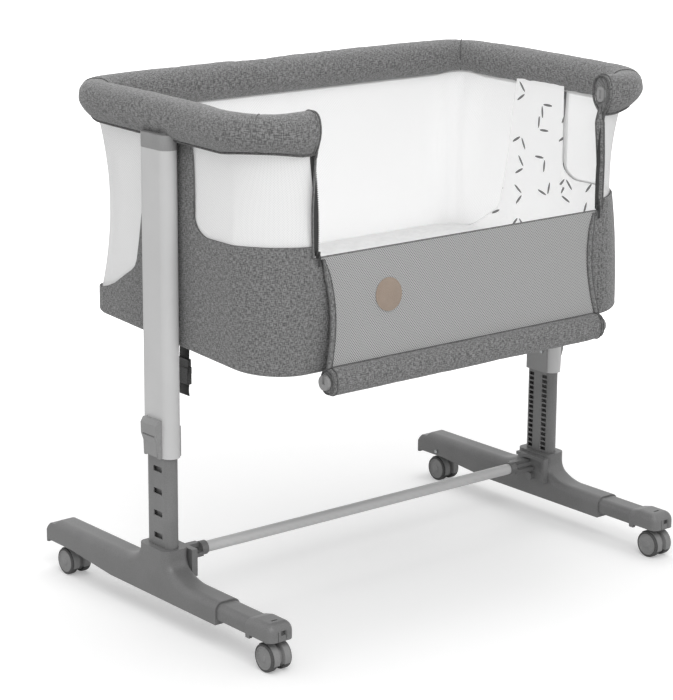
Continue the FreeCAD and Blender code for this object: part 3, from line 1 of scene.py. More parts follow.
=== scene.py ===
"""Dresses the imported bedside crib: cloth, padding, netting, zips, wheels, finishes and studio.

Lengths are metres in the frame of the CAD: the floor is z = 0, +X runs to the end called
right and the open bed side faces -Y.
"""

from __future__ import annotations

import json
import logging
import math
from collections.abc import Callable, Iterable, Sequence
from dataclasses import dataclass, field
from enum import Enum

import bpy
from mathutils import Matrix, Quaternion, Vector, noise

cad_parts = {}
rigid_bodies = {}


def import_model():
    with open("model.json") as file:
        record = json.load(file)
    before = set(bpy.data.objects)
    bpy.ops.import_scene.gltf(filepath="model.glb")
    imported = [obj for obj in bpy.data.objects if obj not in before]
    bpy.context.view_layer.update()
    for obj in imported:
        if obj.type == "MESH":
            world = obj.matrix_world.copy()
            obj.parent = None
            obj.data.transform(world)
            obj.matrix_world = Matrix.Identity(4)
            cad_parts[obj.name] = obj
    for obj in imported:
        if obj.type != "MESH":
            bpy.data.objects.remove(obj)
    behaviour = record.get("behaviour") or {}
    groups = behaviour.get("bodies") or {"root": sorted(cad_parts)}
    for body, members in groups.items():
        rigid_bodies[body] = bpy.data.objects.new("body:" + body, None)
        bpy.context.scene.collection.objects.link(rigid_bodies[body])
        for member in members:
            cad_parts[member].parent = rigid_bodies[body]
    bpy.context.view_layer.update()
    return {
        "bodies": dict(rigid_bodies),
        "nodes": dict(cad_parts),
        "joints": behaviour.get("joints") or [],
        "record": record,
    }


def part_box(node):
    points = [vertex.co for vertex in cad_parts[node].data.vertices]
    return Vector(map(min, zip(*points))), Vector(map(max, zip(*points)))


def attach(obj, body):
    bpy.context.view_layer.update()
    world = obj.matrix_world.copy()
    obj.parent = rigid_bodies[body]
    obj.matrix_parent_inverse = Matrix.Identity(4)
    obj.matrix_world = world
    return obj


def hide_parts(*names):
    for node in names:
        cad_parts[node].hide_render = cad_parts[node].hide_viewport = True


log = logging.getLogger("crib")

MM = 0.001
UP = Vector((0, 0, 1))
ACROSS = Vector((1, 0, 0))
SIDES = (("left", -1), ("right", 1))
UV_NAME = "cloth"
FACING = 0.9  # a face looks along an axis when its normal's share is greater
BELOW = 1.5 * math.pi  # angle of the underside round a padded section

Tree = bpy.types.NodeTree
Node = bpy.types.Node
Piece = bpy.types.Object
Face = bpy.types.MeshPolygon
Socket = bpy.types.NodeSocket | Node | float | tuple


# -------------------- Colours and nodes ---------------------
def linear(code: str) -> tuple[float, float, float, float]:
    """Turn an sRGB hex value such as "#808080" into linear light with full alpha."""

    def channel(text: str) -> float:
        """Linear value of one two-digit channel."""
        value = int(text, 16) / 255
        return value / 12.92 if value <= 0.04045 else ((value + 0.055) / 1.055) ** 2.4

    return (*(channel(code[i : i + 2]) for i in (1, 3, 5)), 1.0)


def add(tree: Tree, kind: str, sockets: dict[str | int, Socket] | None = None, **settings) -> Node:
    """Add one shader node.

    Args:
        tree: the node tree that gets the node.
        kind: Blender's name of the node type.
        sockets: input name or number to a value, a node (its first output) or an output.
        **settings: properties of the node itself.

    Returns:
        The new node.
    """
    made = tree.nodes.new(kind)
    for key, value in settings.items():
        setattr(made, key, value)
    for key, value in (sockets or {}).items():
        if isinstance(value, Node):
            tree.links.new(value.outputs[0], made.inputs[key])
        elif isinstance(value, bpy.types.NodeSocket):
            tree.links.new(value, made.inputs[key])
        else:
            made.inputs[key].default_value = value
    return made


def blended(tree: Tree, share: Socket, low: Socket, high: Socket) -> Socket:
    """Mix two colours by a share and return the colour output."""
    mix = add(tree, "ShaderNodeMix", {0: share, 6: low, 7: high}, data_type="RGBA")
    return mix.outputs[2]


def tinted(code: str, factor: float) -> tuple[float, float, float, float]:
    """Turn an sRGB hex value into linear light, made darker or paler by a factor."""
    return tuple(c * factor for c in linear(code)[:3]) + (1.0,)


def maths(tree: Tree, operation: str, *values: Socket, **settings) -> Node:
    """Add a maths node that works on the values."""
    return add(tree, "ShaderNodeMath", dict(enumerate(values)), operation=operation, **settings)


def vectors(tree: Tree, operation: str, *values: Socket) -> Node:
    """Add a vector maths node that works on the values."""
    return add(tree, "ShaderNodeVectorMath", dict(enumerate(values)), operation=operation)


def cloudy(tree: Tree, coords: Socket, scale: float, detail: float, **more: float) -> Node:
    """Add a noise texture.

    Args:
        tree: the node tree.
        coords: the pattern's coordinates.
        scale: features in a unit of the coordinates.
        detail: octaves of finer noise.
        **more: its other inputs, by name.

    Returns:
        The new node.
    """
    sockets = {"Vector": coords, "Scale": scale, "Detail": detail, **more}
    return add(tree, "ShaderNodeTexNoise", sockets)


def sums(tree: Tree, parts: Sequence[Socket]) -> Socket:
    """Add up several values and return the last sum."""
    total = parts[0]
    for part in parts[1:]:
        total = maths(tree, "ADD", total, part)
    return total


def waves(tree: Tree, coords: Socket, pitch: float, turns: Sequence[float]) -> Socket:
    """Add cosine waves across the cloth.

    Args:
        tree: the node tree.
        coords: the pattern's coordinates in metres.
        pitch: distance from crest to crest.
        turns: direction of each wave, in degrees.

    Returns:
        The sum of the waves, from minus to plus their number.
    """
    parts = []
    for turn in turns:
        way = (math.cos(math.radians(turn)), math.sin(math.radians(turn)), 0.0)
        reach = vectors(tree, "DOT_PRODUCT", coords, way)
        phase = maths(tree, "MULTIPLY", reach.outputs["Value"], 2 * math.pi / pitch)
        parts.append(maths(tree, "COSINE", phase))
    return sums(tree, parts)


def ramp(tree: Tree, value: Socket, low: float, high: float, **span: float) -> Socket:
    """Map a value from low..high to 0..1, or to span's bottom..top."""
    sockets = {0: value, 1: low, 2: high, 3: span.get("bottom", 0.0), 4: span.get("top", 1.0)}
    return add(tree, "ShaderNodeMapRange", sockets, interpolation_type="SMOOTHSTEP")


# ------------------------- Finishes -------------------------
class Coordinates(Enum):
    """Where a pattern is read from."""

    SOLID = "Object"
    CLOTH = "UV"


@dataclass(frozen=True)
class Finish:
    """A real material: its name, the record's slot, its colour and how rough it is."""

    name: str
    slot: str
    colour: str
    roughness: float = 0.5
    metallic: float = 0.0
    sheen: float = 0.0

    reads = Coordinates.SOLID

    def material(self) -> bpy.types.Material:
        """Build the material once and return it on every later call."""
        made = bpy.data.materials.get(self.name)
        if made:
            return made
        made = bpy.data.materials.new(self.name)
        made.use_nodes = True
        tree = made.node_tree
        shader = tree.nodes["Principled BSDF"]
        shader.inputs["Roughness"].default_value = self.roughness
        shader.inputs["Metallic"].default_value = self.metallic
        shader.inputs["Sheen Weight"].default_value = self.sheen
        shader.inputs["Sheen Roughness"].default_value = 0.5
        if self.reads is Coordinates.CLOTH:
            source = add(tree, "ShaderNodeUVMap", uv_map=UV_NAME)
            coords = source.outputs[0]
        else:
            source = add(tree, "ShaderNodeTexCoord")
            coords = source.outputs[Coordinates.SOLID.value]
        self.dress(tree, shader, coords)
        return made

    def dress(self, tree: Tree, shader: Node, coords: Socket) -> None:
        """Link the pattern into the shader; each finish has its own."""
        raise NotImplementedError

    def relief(
        self,
        tree: Tree,
        shader: Node,
        height: Socket,
        depth: float,
        rounding: float = 0.0,
    ) -> None:
        """Link a height into the shader's normal.

        Args:
            tree: the node tree.
            shader: the Principled shader.
            height: the value that stands out of the surface.
            depth: how far it stands out, in metres.
            rounding: radius of the moulded edges, in metres.
        """
        sockets = {"Height": height, "Distance": depth, "Strength": 1.0}
        if rounding:
            edges = add(tree, "ShaderNodeBevel", {"Radius": rounding}, samples=4)
            sockets["Normal"] = edges
        bump = add(tree, "ShaderNodeBump", sockets)
        tree.links.new(bump.outputs[0], shader.inputs["Normal"])


@dataclass(frozen=True)
class MouldedPlastic(Finish):
    """Glass-filled polypropylene from a spark-eroded mould: fine grain, satin, soft edges."""

    grain: float = 0.7 * MM
    edge: float = 1.1 * MM

    def dress(self, tree: Tree, shader: Node, coords: Socket) -> None:
        """Fine grain in the relief, faint cloudiness, faint pale specks and softened edges in the
        relief.
        """
        cloud = cloudy(tree, coords, 0.4 / self.grain / 30, 4.0)
        grit = cloudy(tree, coords, 0.4 / self.grain, 2.0)
        darker, paler = tinted(self.colour, 0.93), tinted(self.colour, 1.06)
        shade = blended(tree, ramp(tree, cloud, 0.3, 0.7), darker, paler)
        speck = ramp(tree, grit, 0.35, 0.65, bottom=0.0, top=0.03)
        colour = blended(tree, speck, shade, linear("#ffffff"))
        tree.links.new(colour, shader.inputs["Base Color"])
        gloss = ramp(tree, cloud, 0.3, 0.7, bottom=self.roughness - 0.05, top=self.roughness + 0.06)
        tree.links.new(gloss.outputs[0], shader.inputs["Roughness"])
        self.relief(tree, shader, grit, 0.012 * MM, self.edge)


@dataclass(frozen=True)
class PowderCoat(Finish):
    """Powder-coated steel or aluminium tube: even colour under a fine orange peel."""

    def dress(self, tree: Tree, shader: Node, coords: Socket) -> None:
        """A 2 mm orange peel, and a trace of gloss from its clear resin."""
        shader.inputs["Coat Weight"].default_value = 0.15
        shader.inputs["Coat Roughness"].default_value = 0.25
        peel = cloudy(tree, coords, 450.0, 1.0)
        cloud = cloudy(tree, coords, 9.0, 3.0)
        darker = tinted(self.colour, 0.96)
        colour = blended(tree, ramp(tree, cloud, 0.35, 0.65), darker, linear(self.colour))
        tree.links.new(colour, shader.inputs["Base Color"])
        self.relief(tree, shader, peel, 0.03 * MM, 0.6 * MM)


@dataclass(frozen=True)
class ZincSteel(Finish):
    """Zinc-plated turned steel: bright, with fine turning marks and dull patches."""

    metallic: float = 1.0

    def dress(self, tree: Tree, shader: Node, coords: Socket) -> None:
        """Cloudy plating, with marks 0.6 mm apart."""
        cloud = cloudy(tree, coords, 260.0, 3.0)
        marks = waves(tree, coords, 0.6 * MM, (0.0, 90.0))
        colour = blended(tree, ramp(tree, cloud, 0.3, 0.7), linear("#9fa2a3"), linear(self.colour))
        tree.links.new(colour, shader.inputs["Base Color"])
        gloss = ramp(tree, cloud, 0.3, 0.7, bottom=self.roughness, top=self.roughness + 0.2)
        tree.links.new(gloss.outputs[0], shader.inputs["Roughness"])
        self.relief(tree, shader, marks, 0.01 * MM, 0.4 * MM)


@dataclass(frozen=True)
class MelangeCloth(Finish):
    """Woven polyester melange: pale and dark fibres spun together, slubs along both threads."""

    dark: str = "#3f3f3f"
    pale: str = "#a2a2a2"
    thread: float = 1.3 * MM
    slub: float = 6 * MM
    contrast: float = 0.62

    reads = Coordinates.CLOTH

    def streaks(self, tree: Tree, coords: Socket, turn: bool) -> Socket:
        """Noise drawn out along one set of threads.

        Args:
            tree: the node tree.
            coords: cloth coordinates in metres.
            turn: True for the threads that run across.

        Returns:
            The streaks, about 0 to 1.
        """
        fine, long = 1 / self.thread, 1 / self.slub
        scale = (long, fine, 1.0) if turn else (fine, long, 1.0)
        placed = add(tree, "ShaderNodeMapping", {"Vector": coords, "Scale": scale})
        return cloudy(tree, placed, 1.0, 1.5, Roughness=0.5)

    def dress(self, tree: Tree, shader: Node, coords: Socket) -> None:
        """Two sets of streaks make the melange; a plain weave stands out of it."""
        warp, weft = self.streaks(tree, coords, False), self.streaks(tree, coords, True)
        both = sums(tree, (warp.outputs[0], weft.outputs[0]))
        mottle = cloudy(tree, coords, 90.0, 2.0)
        share = ramp(tree, both, 0.8, 1.2)
        streaked = blended(tree, share, linear(self.dark), linear(self.pale))
        soft = blended(tree, self.contrast, linear(self.colour), streaked)
        worn = ramp(tree, mottle, 0.3, 0.7, bottom=0.0, top=0.12)
        toned = blended(tree, worn, soft, linear(self.dark))
        tree.links.new(toned, shader.inputs["Base Color"])
        weave = waves(tree, coords, self.thread * 1.6, (0.0, 90.0))
        rise = sums(tree, (weave, both))
        self.relief(tree, shader, rise, 0.09 * MM)


@dataclass(frozen=True)
class NetCloth(Finish):
    """Knitted polyester net: small hexagonal holes that only just show."""

    pitch: float = 2.2 * MM
    closed: float = 0.75

    reads = Coordinates.CLOTH

    def dress(self, tree: Tree, shader: Node, coords: Socket) -> None:
        """Three waves at 60 degrees open the holes; the threads between them stay solid."""
        shader.inputs["Base Color"].default_value = linear(self.colour)
        pattern = waves(tree, coords, self.pitch, (0.0, 60.0, 120.0))
        hole = ramp(tree, pattern, 0.2, 1.3)
        thread = maths(tree, "SUBTRACT", 1.0, hole, use_clamp=True)
        cover = ramp(tree, thread, 0.0, 1.0, bottom=self.closed - 0.12, top=self.closed + 0.12)
        tree.links.new(cover.outputs[0], shader.inputs["Alpha"])
        self.relief(tree, shader, thread, 0.1 * MM)


@dataclass(frozen=True)
class SpacerMesh(Finish):
    """Knitted spacer mesh: closed, with rows of small eyes 3 mm apart on a slant, painted dark as
    the shade inside them.
    """

    # colour of the eyes: painted shade in the mesh's openings
    eye: str = "#505050"
    pitch: float = 3.1 * MM

    reads = Coordinates.CLOTH

    def dress(self, tree: Tree, shader: Node, coords: Socket) -> None:
        """Two crossed waves mark the eyes, which also sink in; their dark colour is painted shade.
        """
        eyes = waves(tree, coords, self.pitch, (38.0, 142.0))
        deep = ramp(tree, eyes, 0.1, 1.6)
        fuzz = cloudy(tree, coords, 900.0, 2.0)
        paler = tinted(self.colour, 1.12)
        threads = blended(tree, ramp(tree, fuzz, 0.3, 0.7), linear(self.colour), paler)
        # painted shade: the sunken eyes take the dark colour
        colour = blended(tree, deep, threads, linear(self.eye))
        tree.links.new(colour, shader.inputs["Base Color"])
        rise = maths(tree, "SUBTRACT", 1.0, deep)
        self.relief(tree, shader, rise, 0.4 * MM)


@dataclass(frozen=True)
class CottonWithPaintedGlow(Finish):
    """Cotton with a tight weave, whose colour is also emitted: a painted glow that lightens the
    cloth, though it is no lamp.
    """

    # strength of the painted glow: emission that lightens the cloth, though it is no lamp
    painted_glow: float = 0.0
    thread: float = 0.8 * MM

    reads = Coordinates.CLOTH

    def colour_and_painted_glow(self, tree: Tree, shader: Node, colour: Socket) -> None:
        """Link a colour on the cloth, and emit the same colour as painted glow."""
        tree.links.new(colour, shader.inputs["Base Color"])
        # painted glow: the cloth's own colour is emitted, lightening it beyond its lighting
        tree.links.new(colour, shader.inputs["Emission Color"])
        shader.inputs["Emission Strength"].default_value = self.painted_glow


@dataclass(frozen=True)
class CottonCloth(CottonWithPaintedGlow):
    """Fine plain cotton: a tight weave that hardly shows, with small creases."""

    def dress(self, tree: Tree, shader: Node, coords: Socket) -> None:
        """Weave 0.8 mm apart and soft creases a few centimetres long, with painted shade that
        darkens the creases' hollows.
        """
        weave = waves(tree, coords, self.thread, (0.0, 90.0))
        crease = cloudy(tree, coords, 38.0, 3.0, Distortion=0.6)
        # painted shade: 5% darker where the crease relief is low
        darker = tinted(self.colour, 0.95)
        colour = blended(tree, ramp(tree, crease, 0.35, 0.65), darker, linear(self.colour))
        self.colour_and_painted_glow(tree, shader, colour)
        tall = maths(tree, "MULTIPLY", crease, 6.0)
        self.relief(tree, shader, sums(tree, (weave, tall)), 0.12 * MM)


@dataclass(frozen=True)
class SprigCotton(CottonWithPaintedGlow):
    """White cotton lining printed with scattered two-leaf sprigs."""

    # painted glow that lightens the lining, which lies in shade inside the tub
    painted_glow: float = 0.16
    ink: str = "#6f6f6f"
    spacing: float = 58 * MM
    leaf: float = 16 * MM

    def dress(self, tree: Tree, shader: Node, coords: Socket) -> None:
        """Each cell of a Voronoi pattern holds one sprig, turned its own way."""
        cells = add(
            tree,
            "ShaderNodeTexVoronoi",
            {"Vector": coords, "Scale": 1 / self.spacing, "Randomness": 0.55},
            voronoi_dimensions="2D",
        )
        shift = vectors(tree, "SUBTRACT", coords, cells.outputs["Position"])
        away = add(
            tree, "ShaderNodeVectorMath", {0: shift, "Scale": 1 / self.spacing}, operation="SCALE"
        )
        chance = add(tree, "ShaderNodeSeparateColor", {0: cells.outputs["Color"]})
        turn = maths(tree, "MULTIPLY", chance, 6.28)
        turned = add(
            tree, "ShaderNodeVectorRotate", {"Vector": away, "Angle": turn}, rotation_type="Z_AXIS"
        )
        inside = self.leaves(tree, turned)
        colour = blended(tree, inside, linear(self.colour), linear(self.ink))
        self.colour_and_painted_glow(tree, shader, colour)
        weave = waves(tree, coords, self.thread, (0.0, 90.0))
        self.relief(tree, shader, weave, 0.05 * MM)

    def leaves(self, tree: Tree, sprig: Socket) -> Node:
        """Mark the two leaves, slanted ovals on both sides of a sprig's middle.

        Args:
            tree: the node tree.
            sprig: place in the sprig, as shares of the spacing.

        Returns:
            1 inside the leaves and 0 outside.
        """
        split = add(tree, "ShaderNodeSeparateXYZ", {0: sprig})
        length = self.leaf / self.spacing
        spread = maths(tree, "ABSOLUTE", split.outputs["X"])
        lifted = maths(tree, "SUBTRACT", split.outputs["Y"], spread)
        narrow = maths(tree, "MULTIPLY", lifted, 2.4)
        leaf = add(tree, "ShaderNodeCombineXYZ", {0: spread, 1: narrow})
        middle = (length * 0.6, -length * 0.1, 0.0)
        gap = vectors(tree, "DISTANCE", leaf, middle)
        return ramp(tree, gap.outputs["Value"], length * 0.5, length * 0.46)


@dataclass(frozen=True)
class RibbedTape(Finish):
    """Narrow woven tape, as webbing and zip tape are: ribs across it, a fold at each edge."""

    rib: float = 1.6 * MM

    reads = Coordinates.CLOTH

    def dress(self, tree: Tree, shader: Node, coords: Socket) -> None:
        """Ribs across the tape and a herringbone of threads between them, with painted shade in the
        grooves.
        """
        ribs = waves(tree, coords, self.rib, (90.0,))
        twill = waves(tree, coords, self.rib * 0.8, (35.0, 145.0))
        rise = sums(tree, (ribs, twill))
        # painted shade: the colour darkens to 70% where the relief is low, in the grooves
        darker = tinted(self.colour, 0.7)
        colour = blended(tree, ramp(tree, rise, -1.5, 1.5), darker, linear(self.colour))
        tree.links.new(colour, shader.inputs["Base Color"])
        self.relief(tree, shader, rise, 0.1 * MM)


FOOT_PLASTIC = MouldedPlastic("satin polypropylene, mid grey", "leg_plastic", "#727272", 0.4)
POST_PLASTIC = MouldedPlastic("satin polypropylene, post grey", "dark_post", "#7a7a7a", 0.38)
LEVER_PLASTIC = MouldedPlastic("satin polyamide, light grey", "lever_plastic", "#949494", 0.4)
DISC_PLASTIC = MouldedPlastic("satin polypropylene, wheel grey", "wheel_plastic", "#858585", 0.42)
TREAD_RUBBER = MouldedPlastic("thermoplastic rubber tread", "wheel_plastic", "#484848", 0.7)
BUCKLE_PLASTIC = MouldedPlastic("black acetal", "buckle_plastic", "#232323", 0.4, edge=0.6 * MM)
BOARD_PLASTIC = MouldedPlastic("ribbed polypropylene board", "board_plastic", "#6a6a6a", 0.6)
POST_COAT = PowderCoat("powder-coated aluminium, light grey", "post_paint", "#d0d0d0", 0.38)
STEEL = ZincSteel("zinc-plated steel", "zinc_steel", "#c9cccd", 0.3)
MELANGE = MelangeCloth("woven melange, grey", "melange_cloth", "#707070", 0.85, sheen=0.25)
PIPING = MelangeCloth(
    "melange piping, dark", "melange_cloth", "#5c5c5c", 0.85, dark="#3f3f3f", pale="#7c7c7c"
)
NET = NetCloth("knitted net, white", "white_net", "#f0f0f0", 0.8)
SPACER = SpacerMesh("spacer mesh, grey", "grey_net", "#b4b4b4", 0.85)
# the quilt glows a little: painted light that lightens it in the shade of the tub
QUILT = CottonCloth(
    "quilted cotton, white", "white_quilt", "#f4f4f4", 0.9, sheen=0.15, painted_glow=0.09
)
LINING = SprigCotton("printed cotton lining", "white_quilt", "#f6f6f6", 0.9, sheen=0.1)
WEBBING = RibbedTape("polypropylene webbing, dark grey", "webbing", "#3c3c3c", 0.75)
ZIP_TAPE = RibbedTape("zip tape, dark grey", "zip_tape", "#474747", 0.8, rib=1.1 * MM)
PATCH = CottonCloth("beige felt patch", "patch_cloth", "#ae9b8b", 0.9, sheen=0.3)


# -------------------------- Meshes --------------------------
def deselect() -> None:
    """Leave edit mode and select nothing."""
    if bpy.context.object and bpy.context.object.mode != "OBJECT":
        bpy.ops.object.mode_set(mode="OBJECT")
    bpy.ops.object.select_all(action="DESELECT")


def activate(piece: Piece) -> Piece:
    """Select one piece alone, make it active and return it."""
    deselect()
    piece.select_set(True)
    bpy.context.view_layer.objects.active = piece
    return piece


def settle(piece: Piece, name: str) -> Piece:
    """Put a piece's place into its mesh, name it and return it."""
    activate(piece)
    bpy.ops.object.transform_apply(location=True, rotation=True, scale=True)
    piece.name = name
    piece.data.name = name
    return piece


def modify(piece: Piece, kind: str, **settings) -> Piece:
    """Add a modifier, apply it at once and return the piece."""
    activate(piece)
    bpy.ops.object.modifier_add(type=kind)
    modifier = piece.modifiers[-1]
    for key, value in settings.items():
        setattr(modifier, key, value)
    bpy.ops.object.modifier_apply(modifier=modifier.name)
    return piece


def recalculate(piece: Piece) -> Piece:
    """Merge doubles, turn every face outwards and return the piece."""
    activate(piece)
    bpy.ops.object.mode_set(mode="EDIT")
    bpy.ops.mesh.select_all(action="SELECT")
    bpy.ops.mesh.remove_doubles(threshold=0.01 * MM)
    bpy.ops.mesh.normals_make_consistent(inside=False)
    bpy.ops.object.mode_set(mode="OBJECT")
    return piece


def select_faces(piece: Piece, wanted: Callable[[Face], bool]) -> None:
    """Select the faces that wanted accepts, ready for edit mode.

    Args:
        piece: the active mesh piece, in object mode.
        wanted: says whether a face is taken.
    """
    bpy.ops.object.mode_set(mode="EDIT")
    bpy.ops.mesh.select_mode(type="FACE")
    bpy.ops.mesh.select_all(action="DESELECT")
    bpy.ops.object.mode_set(mode="OBJECT")
    for face in piece.data.polygons:
        face.select = wanted(face)
    bpy.ops.object.mode_set(mode="EDIT")


def block(name: str, place: Sequence[float], size: Sequence[float]) -> Piece:
    """Add a box.

    Args:
        name: the piece's name.
        place: the box's centre, in metres.
        size: its sides, in millimetres.

    Returns:
        The box.
    """
    deselect()
    bpy.ops.mesh.primitive_cube_add(size=1, location=place)
    piece = bpy.context.object
    piece.scale = [side * MM for side in size]
    return settle(piece, name)


def dent(piece: Piece, axis: int, rim: float, depth: float) -> None:
    """Sink the two faces across an axis.

    Args:
        piece: the mesh piece.
        axis: 0 for X, 1 for Y, 2 for Z.
        rim: width that stays level round each face, in millimetres.
        depth: how far the rest sinks, in millimetres.
    """
    select_faces(piece, lambda face: abs(face.normal[axis]) > FACING)
    bpy.ops.mesh.inset(thickness=rim * MM, depth=-depth * MM)
    bpy.ops.object.mode_set(mode="OBJECT")


def squeeze(
    piece: Piece,
    wanted: Callable[[Face], bool],
    shares: tuple[float, float, float],
) -> None:
    """Scale some faces of a piece.

    Args:
        piece: the mesh piece.
        wanted: says whether a face is taken.
        shares: scales along X, Y and Z.
    """
    select_faces(piece, wanted)
    bpy.ops.transform.resize(value=shares)
    bpy.ops.object.mode_set(mode="OBJECT")


def smooth(piece: Piece, degrees: float = 35) -> Piece:
    """Shade a piece smooth, except at edges sharper than the angle, and return it."""
    activate(piece)
    bpy.ops.object.shade_smooth_by_angle(angle=math.radians(degrees))
    return piece


def join(pieces: Sequence[Piece], name: str) -> Piece:
    """Join several pieces into the first one, name it and return it."""
    deselect()
    for piece in pieces:
        piece.select_set(True)
    bpy.context.view_layer.objects.active = pieces[0]
    bpy.ops.object.join()
    return settle(pieces[0], name)


def copied(piece: Piece, place: Matrix) -> Piece:
    """Copy a piece with a mesh of its own, moved by a matrix, and return the copy."""
    twin = piece.copy()
    twin.data = piece.data.copy()
    bpy.context.scene.collection.objects.link(twin)
    twin.data.transform(place)
    if place.determinant() < 0:
        twin.data.flip_normals()
    return twin


def paint(piece: Piece, finish: Finish) -> Piece:
    """Give a whole piece one finish and return it."""
    piece.data.materials.clear()
    piece.data.materials.append(finish.material())
    return piece


def installed(piece: Piece, body: str, stands_for: Sequence[str] = ()) -> Piece:
    """Make a finished piece ride on its body and stand for its CAD nodes.

    Args:
        piece: the finished piece.
        body: the CAD body that carries it.
        stands_for: CAD nodes that it replaces.

    Returns:
        The piece.
    """
    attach(piece, body)
    if stands_for:
        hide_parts(*stands_for)
    log.info("%s rides on %s with %d faces", piece.name, body, len(piece.data.polygons))
    return piece


Grid = list[list[Vector]]


def ring_angles(count: int) -> list[float]:
    """Angles of evenly spaced points round a ring."""
    return [2 * math.pi * j / count for j in range(count)]


def squarish(angle: float, power: float) -> tuple[float, float]:
    """Point on a rounded square of half width 1 at an angle; a higher power makes it squarer."""
    c, s = math.cos(angle), math.sin(angle)
    return math.copysign(abs(c) ** (2 / power), c), math.copysign(abs(s) ** (2 / power), s)


def reaches(path: Sequence[Vector]) -> list[float]:
    """Distance of each point of a path from its start, along the path."""
    gaps = [0.0]
    for before, after in zip(path, path[1:]):
        gaps.append(gaps[-1] + (after - before).length)
    return gaps


def sheet(
    name: str,
    rows: Grid,
    cloth: Callable[[int, int], tuple[float, float]],
    closed: bool = False,
    capped: bool = False,
) -> Piece:
    """Make a mesh from rows of points.

    Args:
        name: the piece's name.
        rows: equally long rows of points.
        cloth: gives the cloth coordinates, in metres, of row and column.
        closed: True where each row is a ring.
        capped: True where the first and last rings are filled.

    Returns:
        The new object, with its cloth coordinates in a UV map.
    """
    count = len(rows[0])
    points = [point for row in rows for point in row]
    faces, marks = [], []
    last = count if closed else count - 1
    for i in range(len(rows) - 1):
        for j in range(last):
            k = (j + 1) % count
            faces.append((i * count + j, i * count + k, (i + 1) * count + k, (i + 1) * count + j))
            marks.append((cloth(i, j), cloth(i, j + 1), cloth(i + 1, j + 1), cloth(i + 1, j)))
    if capped:
        end = (len(rows) - 1) * count
        faces.append(tuple(range(count - 1, -1, -1)))
        marks.append(tuple(cloth(0, j) for j in range(count - 1, -1, -1)))
        faces.append(tuple(end + j for j in range(count)))
        marks.append(tuple(cloth(len(rows) - 1, j) for j in range(count)))
    mesh = bpy.data.meshes.new(name)
    mesh.from_pydata(points, [], faces)
    layer = mesh.uv_layers.new(name=UV_NAME)
    layer.data.foreach_set("uv", [value for face in marks for mark in face for value in mark])
    mesh.validate()
    piece = bpy.data.objects.new(name, mesh)
    bpy.context.scene.collection.objects.link(piece)
    mesh.polygons.foreach_set("use_smooth", [True] * len(mesh.polygons))
    return piece


def cord(
    name: str, path: Sequence[Vector], radius: float, closed: bool = False, sides: int = 8
) -> Piece:
    """Make a round cord along a path.

    Args:
        name: the piece's name.
        path: points along the cord's middle.
        radius: the cord's radius.
        closed: True where the path is a loop.
        sides: faces round the cord.

    Returns:
        The cord, dressed as piping.
    """
    count = len(path)
    normal = None
    rows: Grid = []
    gaps = reaches([*path, path[0]] if closed else path)
    for index, point in enumerate(path):
        before = path[index - 1] if closed or index else point
        after = path[(index + 1) % count] if closed or index < count - 1 else point
        ahead = (after - before).normalized()
        normal = ahead.orthogonal() if normal is None else normal - ahead * normal.dot(ahead)
        normal.normalize()
        aside = ahead.cross(normal)
        turns = ring_angles(sides)
        rows.append([point + (normal * math.cos(a) + aside * math.sin(a)) * radius for a in turns])
    if closed:
        rows.append([place.copy() for place in rows[0]])
    piece = sheet(
        name, rows, lambda i, j: (gaps[i], radius * 0.8 * j), closed=True, capped=not closed
    )
    return paint(recalculate(piece), PIPING)


@dataclass(frozen=True)
class Station:
    """One place on a plan line: the point, the way ahead and the distance from its start."""

    place: Vector
    ahead: Vector
    along: float

    @property
    def outward(self) -> Vector:
        """Unit vector away from the inside of a line that runs clockwise."""
        return Vector((-self.ahead.y, self.ahead.x, 0))


def plan_line(corners: Sequence[tuple[float, float, float]], step: float) -> list[Station]:
    """Walk along straight runs and round corners.

    Args:
        corners: x, y and corner radius of each point; the ends have no radius.
        step: greatest distance between two stations.

    Returns:
        The stations, from the first corner to the last.
    """
    stations = []
    along = 0.0
    here = Vector((corners[0][0], corners[0][1], 0))
    for index in range(1, len(corners)):
        x, y, radius = corners[index]
        corner = Vector((x, y, 0))
        ahead = (corner - here).normalized()
        turn = 0.0
        if radius and index < len(corners) - 1:
            after = Vector((corners[index + 1][0], corners[index + 1][1], 0))
            way = (after - corner).normalized()
            turn = ahead.angle(way) * (-1 if ahead.cross(way).z < 0 else 1)
        back = radius * math.tan(abs(turn) / 2)
        run = (corner - here).length - back
        count = max(1, math.ceil(run / step))
        for k in range(count):
            reach = run * k / count
            stations.append(Station(here + ahead * reach, ahead, along + reach))
        along += run
        here = corner - ahead * back
        if turn:
            inward = Vector((-ahead.y, ahead.x, 0)) * (1 if turn > 0 else -1)
            centre = here + inward * radius
            count = max(2, math.ceil(radius * abs(turn) / step))
            for k in range(count):
                spin = Matrix.Rotation(turn * k / count, 3, "Z")
                place = centre + spin @ (here - centre)
                reach = along + radius * abs(turn) * k / count
                stations.append(Station(place, spin @ ahead, reach))
            along += radius * abs(turn)
            spin = Matrix.Rotation(turn, 3, "Z")
            here = centre + spin @ (here - centre)
    final = stations[-1].ahead
    stations.append(Station(Vector((corners[-1][0], corners[-1][1], 0)), final, along))
    return stations


def ripple(place: Vector, size: float, seed: float = 0.0) -> float:
    """Smooth noise from -1 to 1 whose features are about size across."""
    return noise.noise(place / size + Vector((seed, seed * 2.3, seed * 0.7)))


def bell(distance: float, width: float) -> float:
    """1 at no distance, falling smoothly to 0 over about twice the width."""
    return math.exp(-((distance / width) ** 2))


def eased(value: float) -> float:
    """Clamp to 0..1 and ease both ends."""
    value = min(max(value, 0.0), 1.0)
    return value * value * (3 - 2 * value)


